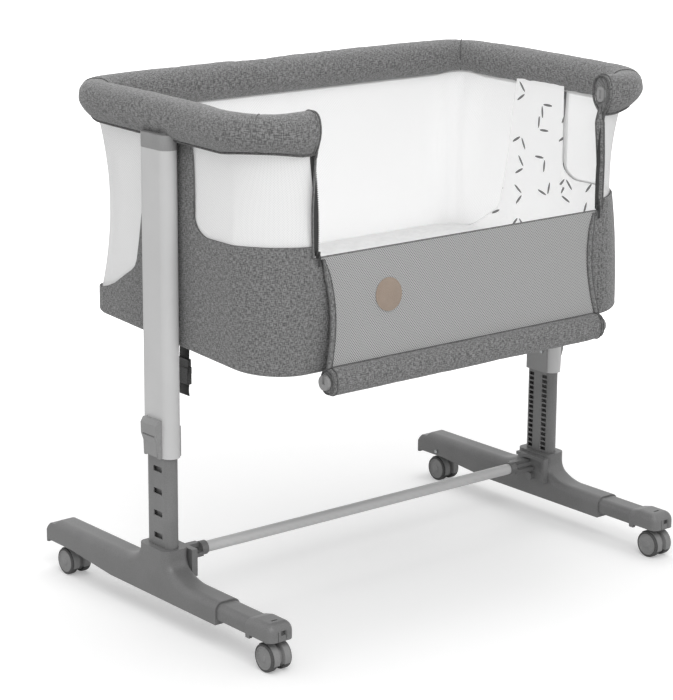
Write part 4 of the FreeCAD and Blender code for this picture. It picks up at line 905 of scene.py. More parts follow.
@dataclass(frozen=True)
class Puff:
    """How a padded cover is blown up by the cloth simulation."""

    pressure: float = 4.0
    shrink: float = 0.0
    cap: float = 4 * MM
    frames: int = 20

    def apply(self, piece: Piece, held: Callable[[Vector], bool]) -> None:
        """Run Blender's cloth on a piece and keep its last shape.

        Args:
            piece: a closed mesh of even quads.
            held: says whether a point is sewn down.
        """
        rest = [vertex.co.copy() for vertex in piece.data.vertices]
        sewn = piece.vertex_groups.new(name="sewn")
        sewn.add([v.index for v in piece.data.vertices if held(v.co)], 1.0, "REPLACE")
        activate(piece)
        bpy.ops.object.modifier_add(type="CLOTH")
        cloth = piece.modifiers[-1]
        cloth.settings.quality = 5
        cloth.settings.mass = 0.25
        cloth.settings.tension_stiffness = 25
        cloth.settings.compression_stiffness = 25
        cloth.settings.shear_stiffness = 8
        cloth.settings.bending_stiffness = 0.8
        cloth.settings.vertex_group_mass = sewn.name
        cloth.settings.shrink_min = self.shrink
        cloth.settings.use_pressure = True
        cloth.settings.uniform_pressure_force = self.pressure
        cloth.settings.effector_weights.gravity = 0
        cloth.point_cache.frame_start = 1
        cloth.point_cache.frame_end = self.frames
        scene = bpy.context.scene
        for frame in range(1, self.frames + 1):
            scene.frame_set(frame)
        graph = bpy.context.evaluated_depsgraph_get()
        shaped = piece.evaluated_get(graph).data
        moved = [vertex.co.copy() for vertex in shaped.vertices]
        piece.modifiers.remove(cloth)
        scene.frame_set(1)
        for vertex, start, end in zip(piece.data.vertices, rest, moved):
            away = end - start
            if away.length > self.cap:
                away *= self.cap / away.length
            vertex.co = start + away
        piece.vertex_groups.clear()
        piece.data.update()


# ----------------------- Padded rail ------------------------
@dataclass
class PaddedRail:
    """The padded sleeve on the top rail: drawn in to a piped seam below, gathered at its ends."""

    half_length: float = 411 * MM
    front: float = 236 * MM
    back: float = 225 * MM
    front_radius: float = 80 * MM
    back_radius: float = 52 * MM
    height: float = 820 * MM
    rise: float = 6 * MM
    end: float = 304.5 * MM
    half_width: float = 27.5 * MM
    half_height: float = 31 * MM
    seam_shift: float = 6 * MM
    taper: float = 0.6
    inner_taper: float = 0.3
    corner_rise: float = 0.18
    squareness: float = 2.5
    front_mitre: float = 0.52
    back_mitre: float = 0.5
    padding_radius: float = 29 * MM
    gathered: float = 0.66
    gather_reach: float = 60 * MM
    end_swell: float = 1.5 * MM
    swell_reach: float = 70 * MM
    mouth: float = 0.93
    mouth_reach: float = 6 * MM
    slack: float = 0.55 * MM
    fine_slack: float = 0.25 * MM
    mitre_pucker: float = 0.5 * MM
    end_pucker: float = 0.6 * MM
    mitre_groove: float = 1.7 * MM
    cord_radius: float = 2.2 * MM
    around: int = 44
    step: float = 5 * MM
    body: str = "cot"

    end_cords = ((0.9, 1.9, 9.0), (6.5, 1.4, 1.5))  # place from the end, radius and drop, in mm

    def level(self, y: float) -> float:
        """Height of the rail's centre line at a depth."""
        return self.height + self.rise / (self.front + self.back) * y

    def line(self, step: float) -> list[Station]:
        """Stations along the rail's centre line, from the left end to the right end."""
        corners = [
            (-self.end, -self.front, 0),
            (-self.half_length, -self.front, self.front_radius),
            (-self.half_length, self.back, self.back_radius),
            (self.half_length, self.back, self.back_radius),
            (self.half_length, -self.front, self.front_radius),
            (self.end, -self.front, 0),
        ]
        return plan_line(corners, step)

    def seam_places(self, total: float) -> list[float]:
        """Distances along the line of the four mitre seams, one in each corner."""
        turn = math.pi / 2
        first = self.half_length - self.front_radius - self.end
        front_seam = first + self.front_radius * turn * self.front_mitre
        side = first + self.front_radius * turn + self.front + self.back
        side -= self.front_radius + self.back_radius
        back_seam = side + self.back_radius * turn * self.back_mitre
        near = [front_seam, back_seam]
        return near + [total - place for place in near]

    def section(self, angle: float, ends: float) -> tuple[float, float]:
        """Offsets of the padded section.

        Args:
            angle: angle from the outside, upwards.
            ends: distance to the nearer end of the sleeve.

        Returns:
            The outward and the upward offset.
        """
        c, s = squarish(angle, self.squareness)
        deep = max(0.0, -math.sin(angle))
        open_share = self.gathered + (1 - self.gathered) * eased(ends / self.gather_reach)
        wide = self.half_width * open_share
        tall = self.half_height + self.end_swell * eased(1 - ends / self.swell_reach)
        tall *= self.mouth + (1 - self.mouth) * eased(ends / self.mouth_reach)
        taper = self.taper if c > 0 else self.inner_taper
        out = c * wide * (1 - taper * deep**1.2)
        return out + self.seam_shift * deep**2, s * tall

    def skin(self, station: Station, angle: float, ends: float, scale: float = 1.0) -> Vector:
        """Point on the sleeve at a station, at an angle from the outside."""
        out, up = self.section(angle, ends)
        if up < 0:
            up *= 1 - self.corner_rise * abs(station.outward.x * station.outward.y) * 2
        lift = UP * (up * scale + self.level(station.place.y))
        return station.place + station.outward * (out * scale) + lift

    def surface(self, name: str) -> Piece:
        """Build the padded sleeve's mesh with its gathered ends, mitre seams and puckers."""
        line = self.line(self.step)
        total = line[-1].along
        seams = self.seam_places(total)
        rows: Grid = []
        marks: list[float] = []
        for station in line:
            ends = min(station.along, total - station.along)
            near = min(abs(station.along - seam) for seam in seams)
            ring = []
            for angle in ring_angles(self.around):
                place = self.skin(station, angle, ends)
                gather = math.sin(angle * 13 + station.along * 40)
                bulge = self.slack * ripple(place, 42 * MM)
                bulge += self.fine_slack * ripple(place, 15 * MM, 3)
                bulge += self.mitre_pucker * gather * bell(near - 7 * MM, 7 * MM)
                bulge += self.end_pucker * gather * bell(ends - 9 * MM, 8 * MM)
                bulge -= self.mitre_groove * bell(near, 2.6 * MM)
                bulge *= 1 - bell(angle - BELOW, 0.3)
                ring.append(self.skin(station, angle, ends, 1 + bulge / self.half_width))
            rows.append(ring)
            marks.append(station.along)
        girth = 2 * math.pi * self.padding_radius
        return sheet(
            name,
            rows,
            lambda i, j: (marks[i], girth * j / self.around),
            closed=True,
            capped=True,
        )

    def piping(self, name: str) -> Piece:
        """Build the piping: along the seam below, twice round each end and at the mitres."""
        line = self.line(self.step)
        total = line[-1].along
        seam = []
        for station in line:
            ends = min(station.along, total - station.along)
            place = self.skin(station, BELOW, ends)
            place += station.outward * (1.5 * MM) - UP * (1.1 * MM)
            seam.append(place + UP * (0.4 * MM * ripple(place, 30 * MM)))
        cords = [cord(name, seam, self.cord_radius)]
        turns = ring_angles(40)
        fine = self.line(1 * MM)
        for reach, radius, drop in self.end_cords:
            for station in fine:
                for ends in (station.along, total - station.along):
                    if abs(ends - reach * MM) > 0.5 * MM:
                        continue
                    loop = []
                    for angle in turns:
                        fall = UP * (drop * MM * bell(angle - BELOW, 0.4))
                        loop.append(self.skin(station, angle, ends, 1.01) - fall)
                    cords.append(cord("loop", loop, radius * MM, closed=True))
                    break
        for place in self.seam_places(total):
            station = min(fine, key=lambda s: abs(s.along - place))
            loop = [self.skin(station, angle, 1.0, 0.985) for angle in turns]
            cords.append(cord("thread", loop, 0.8 * MM, closed=True, sides=6))
        return join(cords, name)

    def build(self) -> None:
        """Make the sleeve and its piping, blow the sleeve up and install both."""
        sleeve = self.surface("rail_sleeve")
        underside = self.half_height * 0.8

        def held(place: Vector) -> bool:
            """Sewn down along the underside."""
            return place.z < self.level(place.y) - underside

        Puff(pressure=3.0, shrink=-0.02, cap=1.6 * MM).apply(sleeve, held)
        modify(sleeve, "SUBSURF", levels=1, render_levels=1)
        paint(sleeve, MELANGE)
        installed(sleeve, self.body, ["rail_padding"])
        installed(self.piping("rail_piping"), self.body)


# ---------------- Cloth tub, lining and net -----------------
@dataclass
class ClothTub:
    """The cot's cloth: the melange tub, its printed lining and the net above it."""

    rail: PaddedRail
    half_length: float = 400 * MM
    front: float = 240 * MM
    back: float = 226 * MM
    front_radius: float = 85 * MM
    back_radius: float = 32 * MM
    hem_back: float = 468 * MM
    hem_front: float = 442 * MM
    fold: float = 623 * MM
    opening: float = 305.5 * MM
    front_sill: float = 641 * MM
    back_sill: float = 509 * MM
    cloth: float = 2.2 * MM
    roll: float = 9 * MM
    rows: int = 44
    step: float = 5 * MM
    tucks: tuple[float, ...] = (2.5 * MM, 8 * MM, 15 * MM)
    sweep_front: float = -100 * MM
    sweep_length: float = 40 * MM
    sweep_rise: float = 32 * MM
    strip_back: float = 60 * MM
    corner_lean: float = 11 * MM
    lining_foot: float = 486 * MM
    body: str = "cot"

    # depth and height, in mm, of the window's edge from the strip behind the post to the back
    window = (
        (60, 782), (72, 690), (80, 649), (88, 607), (95, 575), (101, 563), (110, 555),
        (124, 547), (142, 535.5), (160, 524), (181, 515), (199, 510), (400, 509),
    )

    def line(self, inset: float, step: float) -> list[Station]:
        """Stations round the tub, from the middle of its front, clockwise."""
        half, front, back = self.half_length - inset, self.front - inset, self.back - inset
        near, far = self.front_radius - inset, self.back_radius - inset
        corners = [
            (0, -front, 0),
            (-half, -front, near),
            (-half, back, far),
            (half, back, far),
            (half, -front, near),
            (0, -front, 0),
        ]
        return plan_line(corners, step)

    def hem(self, y: float) -> float:
        """Height of the lower hem at a depth."""
        share = (y + self.front) / (self.front + self.back)
        return self.hem_front + (self.hem_back - self.hem_front) * share

    def under_rail(self, y: float) -> float:
        """Height just under the padded rail at a depth."""
        return self.rail.level(y) - self.rail.half_height + 1.5 * MM

    def edge(self, place: Vector) -> float:
        """Height of the tub's upper edge at a place on its wall.

        From the front: the fold, the low sill, its sweep up beside the post, the strip behind the
        post, and the window that runs down to the sill at the back.
        """
        y = place.y
        top = self.under_rail(y)
        if y < -self.front + 12 * MM and abs(place.x) < self.opening:
            return self.fold
        if y < self.sweep_front:
            return self.front_sill
        if y < -self.strip_back:
            sweep = (y - self.sweep_front) / self.sweep_length
            return self.front_sill + self.sweep_rise * (1 - math.sqrt(max(0.0, 1 - sweep**2)))
        if y < -self.strip_back + 1 * MM:
            share = (y + self.strip_back) / MM
            foot = self.front_sill + self.sweep_rise
            return foot + (top - self.front_sill - self.sweep_rise) * share
        if y < self.strip_back:
            return top
        for (y0, z0), (y1, z1) in zip(self.window, self.window[1:]):
            if y < y1 * MM:
                share = (y / MM - y0) / (y1 - y0)
                return min(top, (z0 + (z1 - z0) * share) * MM)
        return self.back_sill

    def ease_out(self, place: Vector, outward: Vector, height: float) -> float:
        """How far the tub's cloth stands off its plan line.

        Args:
            place: the point on the wall.
            outward: the wall's outward direction.
            height: 0 at the hem to 1 at the upper edge.

        Returns:
            The distance, outwards positive.
        """
        slack = math.sin(math.pi * min(height, 1.0))
        fold = 0.9 * MM * ripple(Vector((place.x, place.y, place.z * 0.4)), 70 * MM, 1) * slack
        fold += 0.35 * MM * ripple(place, 22 * MM, 5) * slack
        near = abs(place.x) - self.opening
        if outward.y < -0.7 and near > -10 * MM:
            pleat = math.sin(near / MM * 0.62 + place.z * 9) * bell(near - 12 * MM, 15 * MM)
            fold += 0.8 * MM * pleat * eased((place.z - 0.43) / 0.05)
            for tuck in self.tucks:
                fold -= 1.5 * MM * bell(near - tuck, 1.1 * MM)
        post = bell(abs(place.y) - 40 * MM, 26 * MM) * abs(outward.x)
        fold += 0.9 * MM * math.sin(place.y / MM * 0.33) * post * eased((place.z - 0.5) / 0.1)
        return fold - 0.8 * MM - self.lean(outward, height)

    def lean(self, outward: Vector, height: float) -> float:
        """How far the cloth is drawn in round the front corners, towards its upper edge."""
        corner = min(1.0, max(0.0, -outward.y) * abs(outward.x) * 2.2)
        return self.corner_lean * corner * max(height, 0.0) ** 2

    def stations(self, inset: float) -> list[Station]:
        """Stations with close steps where the upper edge runs steeply."""
        coarse = self.line(inset, self.step)
        fine = self.line(inset, 1 * MM)
        steep = [
            station
            for station in fine
            if (
                abs(station.outward.x) > 0.99
                and (-64 * MM < station.place.y < -56 * MM or 58 * MM < station.place.y < 104 * MM)
            )
            or (station.outward.y < -0.9 and 303 * MM < abs(station.place.x) < 328 * MM)
        ]
        chosen = {round(station.along, 5): station for station in coarse + steep}
        return [chosen[key] for key in sorted(chosen)]

    def wall(self, name: str) -> Piece:
        """Build the outer cloth: rolled in under the hem, up to the window edges."""
        line = self.stations(0.0)
        turns = 5
        rows: Grid = []
        for step in range(-turns - 3, self.rows + 1):
            row = []
            for station in line:
                base = self.hem(station.place.y)
                top = self.edge(station.place)
                if step < -turns:
                    inward = self.roll + (-turns - step) * 5 * MM
                    row.append(station.place - station.outward * inward + UP * base)
                    continue
                if step < 0:
                    angle = math.pi / 2 * (-step / turns)
                    inward = self.roll * (1 - math.cos(angle))
                    lift = self.roll * (1 - math.sin(angle))
                    row.append(station.place - station.outward * inward + UP * (base + lift))
                    continue
                share = step / self.rows
                height = base + self.roll + (top - base - self.roll) * share
                place = station.place + UP * height
                row.append(place + station.outward * self.ease_out(place, station.outward, share))
            rows.append(row)
        marks = [station.along for station in line]
        piece = sheet(name, rows, lambda i, j: (marks[j], rows[i][j].z))
        return modify(piece, "SOLIDIFY", thickness=self.cloth, offset=-1.0)

    def binding(self, name: str) -> Piece:
        """Build the folded tape that binds the tub's upper edge."""
        line = self.stations(0.4 * MM)
        inner, outer, drop = 2.6 * MM, 0.7 * MM, 7 * MM
        loop = (
            (outer, -drop),
            (outer, -1 * MM),
            (outer * 0.4, 0.4 * MM),
            (-1 * MM, 0.9 * MM),
            (-inner * 0.8, 0.4 * MM),
            (-inner, -0.6 * MM),
        )
        rows: Grid = []
        for out, up in loop:
            row = []
            for index, station in enumerate(line):
                top = self.edge(station.place)
                before, after = line[max(index - 1, 0)], line[min(index + 1, len(line) - 1)]
                climb = self.edge(after.place) - self.edge(before.place)
                slope = math.atan2(climb, after.along - before.along)
                place = station.place + UP * top - station.outward * self.lean(station.outward, 1.0)
                aside = station.ahead * (-math.sin(slope) * up) + UP * (math.cos(slope) * up)
                row.append(place + aside + station.outward * out)
            rows.append(row)
        marks = [station.along for station in line]
        piece = sheet(name, rows, lambda i, j: (marks[j], loop[i][1] + loop[i][0]))
        return recalculate(piece)

    def lining(self, name: str) -> Piece:
        """Build the printed cotton inside the tub and behind the posts."""
        line = self.stations(self.cloth + 3.2 * MM)
        rows: Grid = []
        count = 24
        low = self.lining_foot
        for step in range(count + 1):
            row = []
            for station in line:
                top = max(self.edge(station.place) - 1.2 * MM, low + 4 * MM)
                if top > self.fold + 60 * MM:
                    top += 16 * MM
                height = low + (top - low) * step / count
                place = station.place + UP * height
                crease = 0.5 * MM * ripple(place, 40 * MM, 8)
                crease += self.lean(station.outward, step / count)
                row.append(place - station.outward * (0.5 * MM + crease))
            rows.append(row)
        marks = [station.along for station in line]
        piece = sheet(name, rows, lambda i, j: (marks[j], rows[i][j].z))
        return modify(piece, "SOLIDIFY", thickness=0.6 * MM, offset=-1.0)

    def welts(self, name: str) -> Piece:
        """Build the dark stitched lines beside the opening and down the left and right ends."""
        cords = []
        for way in (-1, 1):
            for tuck in self.tucks:
                x = way * (self.opening + tuck)
                self.welt(cords, Vector((x, -self.front, 0)), Vector((0, -1, 0)))
            for y in (-66 * MM, 104 * MM):
                self.welt(cords, Vector((way * self.half_length, y, 0)), ACROSS * way)
        return join(cords, name)

    def welt(self, cords: list[Piece], foot: Vector, outward: Vector) -> None:
        """Add one upright welt to the cords.

        Args:
            cords: the list that it joins.
            foot: its place in plan.
            outward: the wall's outward direction.
        """
        low, top = self.hem(foot.y) + self.roll, self.edge(foot) - 3 * MM
        if foot.y < -self.front + 1 * MM:
            top = min(top, self.front_sill - 3 * MM)
        path = []
        for k in range(25):
            share = k / 24
            place = foot + UP * (low + (top - low) * share)
            path.append(place + outward * (self.ease_out(place, outward, share) + 0.1 * MM))
        cords.append(cord("welt", path, 0.75 * MM, sides=6))

    def floor(self, name: str) -> Piece:
        """Build the cloth floor between the rolled hems, slightly slack."""
        inset = self.roll + 12 * MM
        rings = 18
        line = self.line(inset, 12 * MM)
        rows: Grid = []
        for step in range(rings + 1):
            share = 1 - step / rings
            row = []
            for station in line[:-1]:
                place = Vector((station.place.x * share, station.place.y * share, 0))
                sag = 3 * MM * (1 - share**2) + 1.2 * MM * ripple(place, 90 * MM, 4)
                row.append(place + UP * (self.hem(place.y) + 1.5 * MM - sag * (1 - share)))
            rows.append(row)
        piece = sheet(name, rows, lambda i, j: self.flat_mark(rows, i, j), closed=True)
        piece = modify(piece, "SOLIDIFY", thickness=1.2 * MM, offset=1.0)
        return recalculate(piece)

    @staticmethod
    def flat_mark(rows: Grid, i: int, j: int) -> tuple[float, float]:
        """Cloth coordinates of a level sheet, straight from its plan."""
        place = rows[i][j % len(rows[i])]
        return place.x, place.y

    def net(self, name: str) -> Piece:
        """Build the net from zip to zip, drawn in round the corners half way up."""
        inset = self.cloth + 0.6 * MM
        line = [
            station
            for station in self.stations(inset)
            if abs(station.place.x) > self.opening - 1 * MM or station.place.y > 0
        ]
        count = 30
        rows: Grid = []
        for step in range(count + 1):
            share = step / count
            row = []
            for station in line:
                low = min(self.edge(station.place), self.back_sill + 160 * MM) - 4 * MM
                high = self.under_rail(station.place.y) + 14 * MM
                z = low + (high - low) * share
                tall = high - low
                corner = abs(station.outward.x * station.outward.y) * 2
                spread = self.corner_share(station.place)
                bow = 0.05 if station.place.y > 0 else 0.02
                draw = max(corner, spread) * tall * bow * (4 * share * (1 - share))
                draw += 1.6 * MM * math.sin(math.pi * share) - 5 * MM * share * share
                draw += self.lean(station.outward, 1.0) * (1 - share)
                place = station.place + UP * z
                wave = 0.5 * MM * ripple(place, 50 * MM, 2) * math.sin(math.pi * share)
                row.append(place - station.outward * (draw + wave))
            rows.append(row)
        marks = [station.along for station in line]
        return sheet(name, rows, lambda i, j: (marks[j], rows[i][j].z))

    def corner_share(self, place: Vector) -> float:
        """How much a place near a corner is drawn in with it, 0 to 1."""
        radius = self.front_radius if place.y < 0 else self.back_radius
        edge = self.front if place.y < 0 else self.back
        across = self.half_length - radius - abs(place.x)
        deep = edge - radius - abs(place.y)
        return bell(max(across, deep, 0.0), 32 * MM)

    def cut_area(self, low: Callable[[Vector], float], high: Callable[[Vector], float]) -> float:
        """Area of the cloth round the tub between two heights."""
        line = self.line(0.0, self.step)
        area = 0.0
        for here, after in zip(line, line[1:]):
            tall = max(0.0, high(here.place) - low(here.place))
            area += tall * (after.along - here.along)
        return area

    def build(self) -> None:
        """Make, dress and install the cloth."""
        turned = self.roll * 1.6 + 15 * MM
        wall_area = self.cut_area(lambda p: self.hem(p.y) - turned, self.edge)
        net_area = self.cut_area(self.edge, lambda p: self.under_rail(p.y))
        outer = smooth(paint(self.wall("tub_outer"), MELANGE), 50)
        installed(outer, self.body, ["tub_cloth"])
        bound = paint(self.binding("tub_binding"), PIPING)
        installed(bound, self.body)
        installed(self.welts("tub_welts"), self.body)
        inner = smooth(paint(self.lining("tub_lining"), LINING), 50)
        installed(inner, self.body)
        base = smooth(paint(self.floor("tub_floor"), MELANGE), 50)
        installed(base, self.body)
        net = paint(self.net("net_walls"), NET)
        installed(net, self.body, ["mesh_walls"])


# ------------------------- Mattress -------------------------
@dataclass
class Mattress:
    """Quilted mattress: crowned, its sides drawn in, sewn in a lattice of diamonds."""

    half_length: float = 391 * MM
    front: float = 231 * MM
    back: float = 217 * MM
    radius: float = 82 * MM
    low: float = 492 * MM
    high: float = 523.5 * MM
    diamond: float = 52 * MM
    rim_share: float = 0.975
    rim_height: float = 0.87
    rings: int = 62
    quilting: float = 0.16
    body: str = "cot"

    # share of the plan and of the height, from the underside up to the rim
    flank = (
        (0.30, 0.0), (0.97, 0.0), (0.99, 0.10), (1.0, 0.28), (0.992, 0.48), (1.0, 0.66),
        (0.993, 0.78),
    )

    def build(self) -> None:
        """Make the mattress in rings from the underside round to the crown."""
        corners = [
            (0, -self.front, 0),
            (-self.half_length, -self.front, self.radius),
            (-self.half_length, self.back, self.radius * 0.75),
            (self.half_length, self.back, self.radius * 0.75),
            (self.half_length, -self.front, self.radius),
            (0, -self.front, 0),
        ]
        line = plan_line(corners, 7 * MM)[:-1]
        tall = self.high - self.low
        rows: Grid = []
        for share, rise in (*self.flank, (self.rim_share, self.rim_height)):
            rows.append([
                Vector((s.place.x * share, s.place.y * share, self.low + tall * rise)) for s in line
            ])
        for k in range(1, self.rings):
            share = self.rim_share - self.rim_share * k / self.rings
            row = []
            for station in line:
                place = Vector((station.place.x * share, station.place.y * share, 0))
                row.append(place + UP * (self.low + tall * self.crown(place, share)))
            rows.append(row)
        piece = sheet(
            "mattress_quilt",
            rows,
            lambda i, j: ClothTub.flat_mark(rows, i, j),
            closed=True,
            capped=True,
        )
        recalculate(piece)
        Puff(pressure=2.0, cap=1.0 * MM).apply(piece, lambda place: place.z < self.low + 6 * MM)
        smooth(paint(piece, QUILT), 60)
        installed(piece, self.body, ["mattress"])

    def crown(self, place: Vector, share: float) -> float:
        """Height of the quilted top as a share of the mattress's height."""
        first = (place.x + place.y) / self.diamond
        second = (place.x - place.y) / self.diamond
        pillow = min(abs(math.sin(math.pi * first)), abs(math.sin(math.pi * second)))
        edge = eased((self.rim_share - share) / 0.16)
        dome = self.rim_height + 0.13 * edge
        sewn = self.quilting * (1 - pillow**0.55) * edge
        return dome - sewn + 0.02 * ripple(place, 60 * MM, 6)


# ---------------------- Fold-down side ----------------------
@dataclass
class FoldDownSide:
    """The side that hangs open: a spacer-mesh panel, zip tapes and a padded bar sleeve."""

    hinge_y: float = -241.6 * MM
    hinge_z: float = 623 * MM
    half_length: float = 294 * MM
    sleeve_width: float = 16.6 * MM
    sleeve_height: float = 21.5 * MM
    squareness: float = 2.3
    padding_radius: float = 19 * MM
    patch_place: float = 75 * MM
    patch_x: float = -163 * MM
    patch_radius: float = 26.5 * MM
    bow: float = 13 * MM
    body: str = "drop_side"

    end_cords = ((1.2, 0.87, 1.7), (8.0, 1.02, 1.2))  # place from the end, size and radius, in mm
    patch_rim = ((1.2, 0.35), (1.0, -0.35), (0.7, 0.3), (9.0, 0.15))  # insets and rises, in mm

    def drawn(self, share: float) -> float:
        """How far the zip draws the panel's side edge in, at a share of the way down."""
        return self.bow * math.sin(math.pi * min(max(share, 0.0), 1.0))

    def bar(self) -> Vector:
        """Centre of the bar, read from its CAD node."""
        low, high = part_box("side_bar")
        middle = (low + high) / 2
        return Vector((0, middle.y, middle.z))

    def frame(self) -> tuple[Vector, Vector, Vector, float]:
        """Hinge point, direction down the panel, outward normal and the bar's distance."""
        hinge = Vector((0, self.hinge_y, self.hinge_z))
        down = self.bar() - hinge
        reach = down.length
        down.normalize()
        return hinge, down, Vector((0, down.z, -down.y)), reach

    def panel(self, name: str) -> Piece:
        """Build the mesh panel, slightly slack between the fold and the sleeve."""
        hinge, down, out, reach = self.frame()
        length = reach - self.sleeve_height + 3 * MM
        columns, count = 100, 28
        rows: Grid = []
        for i in range(count + 1):
            fall = 1 * MM + (length - 1 * MM) * i / count
            row = []
            for j in range(columns + 1):
                x = -self.half_length + 2 * self.half_length * j / columns
                middle = math.sin(math.pi * i / count)
                reached = (abs(x) / self.half_length) ** 5
                x -= math.copysign(self.drawn(i / count) * reached, x)
                place = hinge + down * fall + ACROSS * x
                slant = math.sin((x * 0.8 + fall * 1.1) / (26 * MM))
                slant *= bell(abs(x) - 260 * MM, 60 * MM)
                slack = 0.9 * MM * ripple(place, 110 * MM, 7) * middle
                slack += (0.5 * MM * slant - 0.6 * MM) * middle
                row.append(place + out * slack)
            rows.append(row)
        width = 2 * self.half_length
        piece = sheet(name, rows, lambda i, j: (width * j / columns, length * i / count))
        piece = modify(piece, "SOLIDIFY", thickness=1.8 * MM, offset=0.0)
        return recalculate(piece)

    def sleeve(self, name: str) -> Piece:
        """Build the padded sleeve round the bar, gathered at both ends."""
        _, down, out, _ = self.frame()
        centre = self.bar()
        around, count = 36, 120
        rows: Grid = []
        for i in range(count + 1):
            x = -self.half_length + 2 * self.half_length * i / count
            ends = min(i, count - i) * 2 * self.half_length / count
            shut = 1.0 if ends > 8 * MM else 0.82 + 0.18 * math.sqrt(ends / (8 * MM))
            ring = []
            for angle in ring_angles(around):
                c, s = squarish(angle, self.squareness)
                wide, tall = c * self.sleeve_width, s * self.sleeve_height
                base = centre + ACROSS * x + out * wide - down * tall
                puff = 0.5 * MM * ripple(base, 40 * MM, 9) + 0.2 * MM * ripple(base, 14 * MM, 11)
                puff += 0.5 * MM * math.sin(angle * 9 + x * 60) * bell(ends, 18 * MM)
                scale = shut * (1 + puff / self.sleeve_width)
                ring.append(centre + ACROSS * x + (out * wide - down * tall) * scale)
            rows.append(ring)
        girth = 2 * math.pi * self.padding_radius
        width = 2 * self.half_length
        return sheet(
            name,
            rows,
            lambda i, j: (width * i / count, girth * j / around),
            closed=True,
            capped=True,
        )

    def seam(self, name: str) -> Piece:
        """Build the rolled seam where the panel is sewn to the sleeve."""
        _, down, out, reach = self.frame()
        centre = self.bar() - down * (self.sleeve_height - 0.6 * MM) + out * (1.2 * MM)
        radius, sides, count = 2.1 * MM, 8, 90
        rows: Grid = []
        for i in range(count + 1):
            x = -self.half_length + 2 * self.half_length * i / count
            place = centre + ACROSS * x
            place = place + out * (0.5 * MM * ripple(place, 25 * MM, 12))
            rows.append([
                place + out * (math.cos(angle) * radius) + down * (math.sin(angle) * radius)
                for angle in ring_angles(sides)
            ])
        width = 2 * self.half_length
        return sheet(
            name, rows, lambda i, j: (width * i / count, radius * 0.8 * j), closed=True, capped=True
        )

    def loops(self) -> list[Piece]:
        """Build the two cords of piping round each end of the sleeve."""
        _, down, out, _ = self.frame()
        centre = self.bar()
        made = []
        for _, way in SIDES:
            for inset, size, radius in self.end_cords:
                place = centre + ACROSS * (way * (self.half_length - inset * MM))
                loop = []
                for angle in ring_angles(32):
                    c, s = squarish(angle, self.squareness)
                    wide, tall = c * self.sleeve_width * size, s * self.sleeve_height * size
                    loop.append(place + out * wide - down * tall)
                made.append(cord("loop", loop, radius * MM, closed=True))
        return made

    def patch(self, name: str) -> Piece:
        """Model the plain round patch with a raised, stitched rim."""
        hinge, down, out, _ = self.frame()
        centre = hinge + down * self.patch_place + ACROSS * self.patch_x + out * (0.9 * MM)
        turn = out.to_track_quat("Z", "Y")
        deselect()
        bpy.ops.mesh.primitive_circle_add(
            vertices=64,
            radius=self.patch_radius,
            fill_type="NGON",
            location=centre,
            rotation=turn.to_euler(),
        )
        piece = settle(bpy.context.object, name)
        bpy.ops.object.mode_set(mode="EDIT")
        bpy.ops.mesh.select_all(action="SELECT")
        bpy.ops.mesh.extrude_region_move(TRANSFORM_OT_translate={"value": out * 0.7 * MM})
        for inset, lift in self.patch_rim:
            bpy.ops.mesh.inset(thickness=inset * MM, depth=0)
            bpy.ops.transform.translate(value=out * (lift * MM))
        bpy.ops.object.mode_set(mode="OBJECT")
        mesh = piece.data
        layer = mesh.uv_layers.new(name=UV_NAME)
        for loop in mesh.loops:
            place = mesh.vertices[loop.vertex_index].co - centre
            layer.data[loop.index].uv = (place.x, place.dot(down))
        return smooth(recalculate(piece), 40)

    def build(self) -> None:
        """Make, dress and install the side's soft pieces."""
        _, _, _, reach = self.frame()
        panel = smooth(paint(self.panel("side_mesh"), SPACER), 50)
        installed(panel, self.body, ["side_panel"])
        sleeve = self.sleeve("side_roll")
        top = self.bar().z + self.sleeve_height * 0.8
        Puff(pressure=3.0, shrink=-0.015, cap=1.2 * MM).apply(sleeve, lambda p: p.z > top)
        modify(sleeve, "SUBSURF", levels=1, render_levels=1)
        paint(sleeve, MELANGE)
        installed(sleeve, self.body, ["side_sleeve"])
        trim = [paint(self.seam("side_seam"), PIPING), *self.loops()]
        installed(join(trim, "side_seam"), self.body)
        installed(paint(self.patch("side_patch"), PATCH), self.body, ["side_badge"])


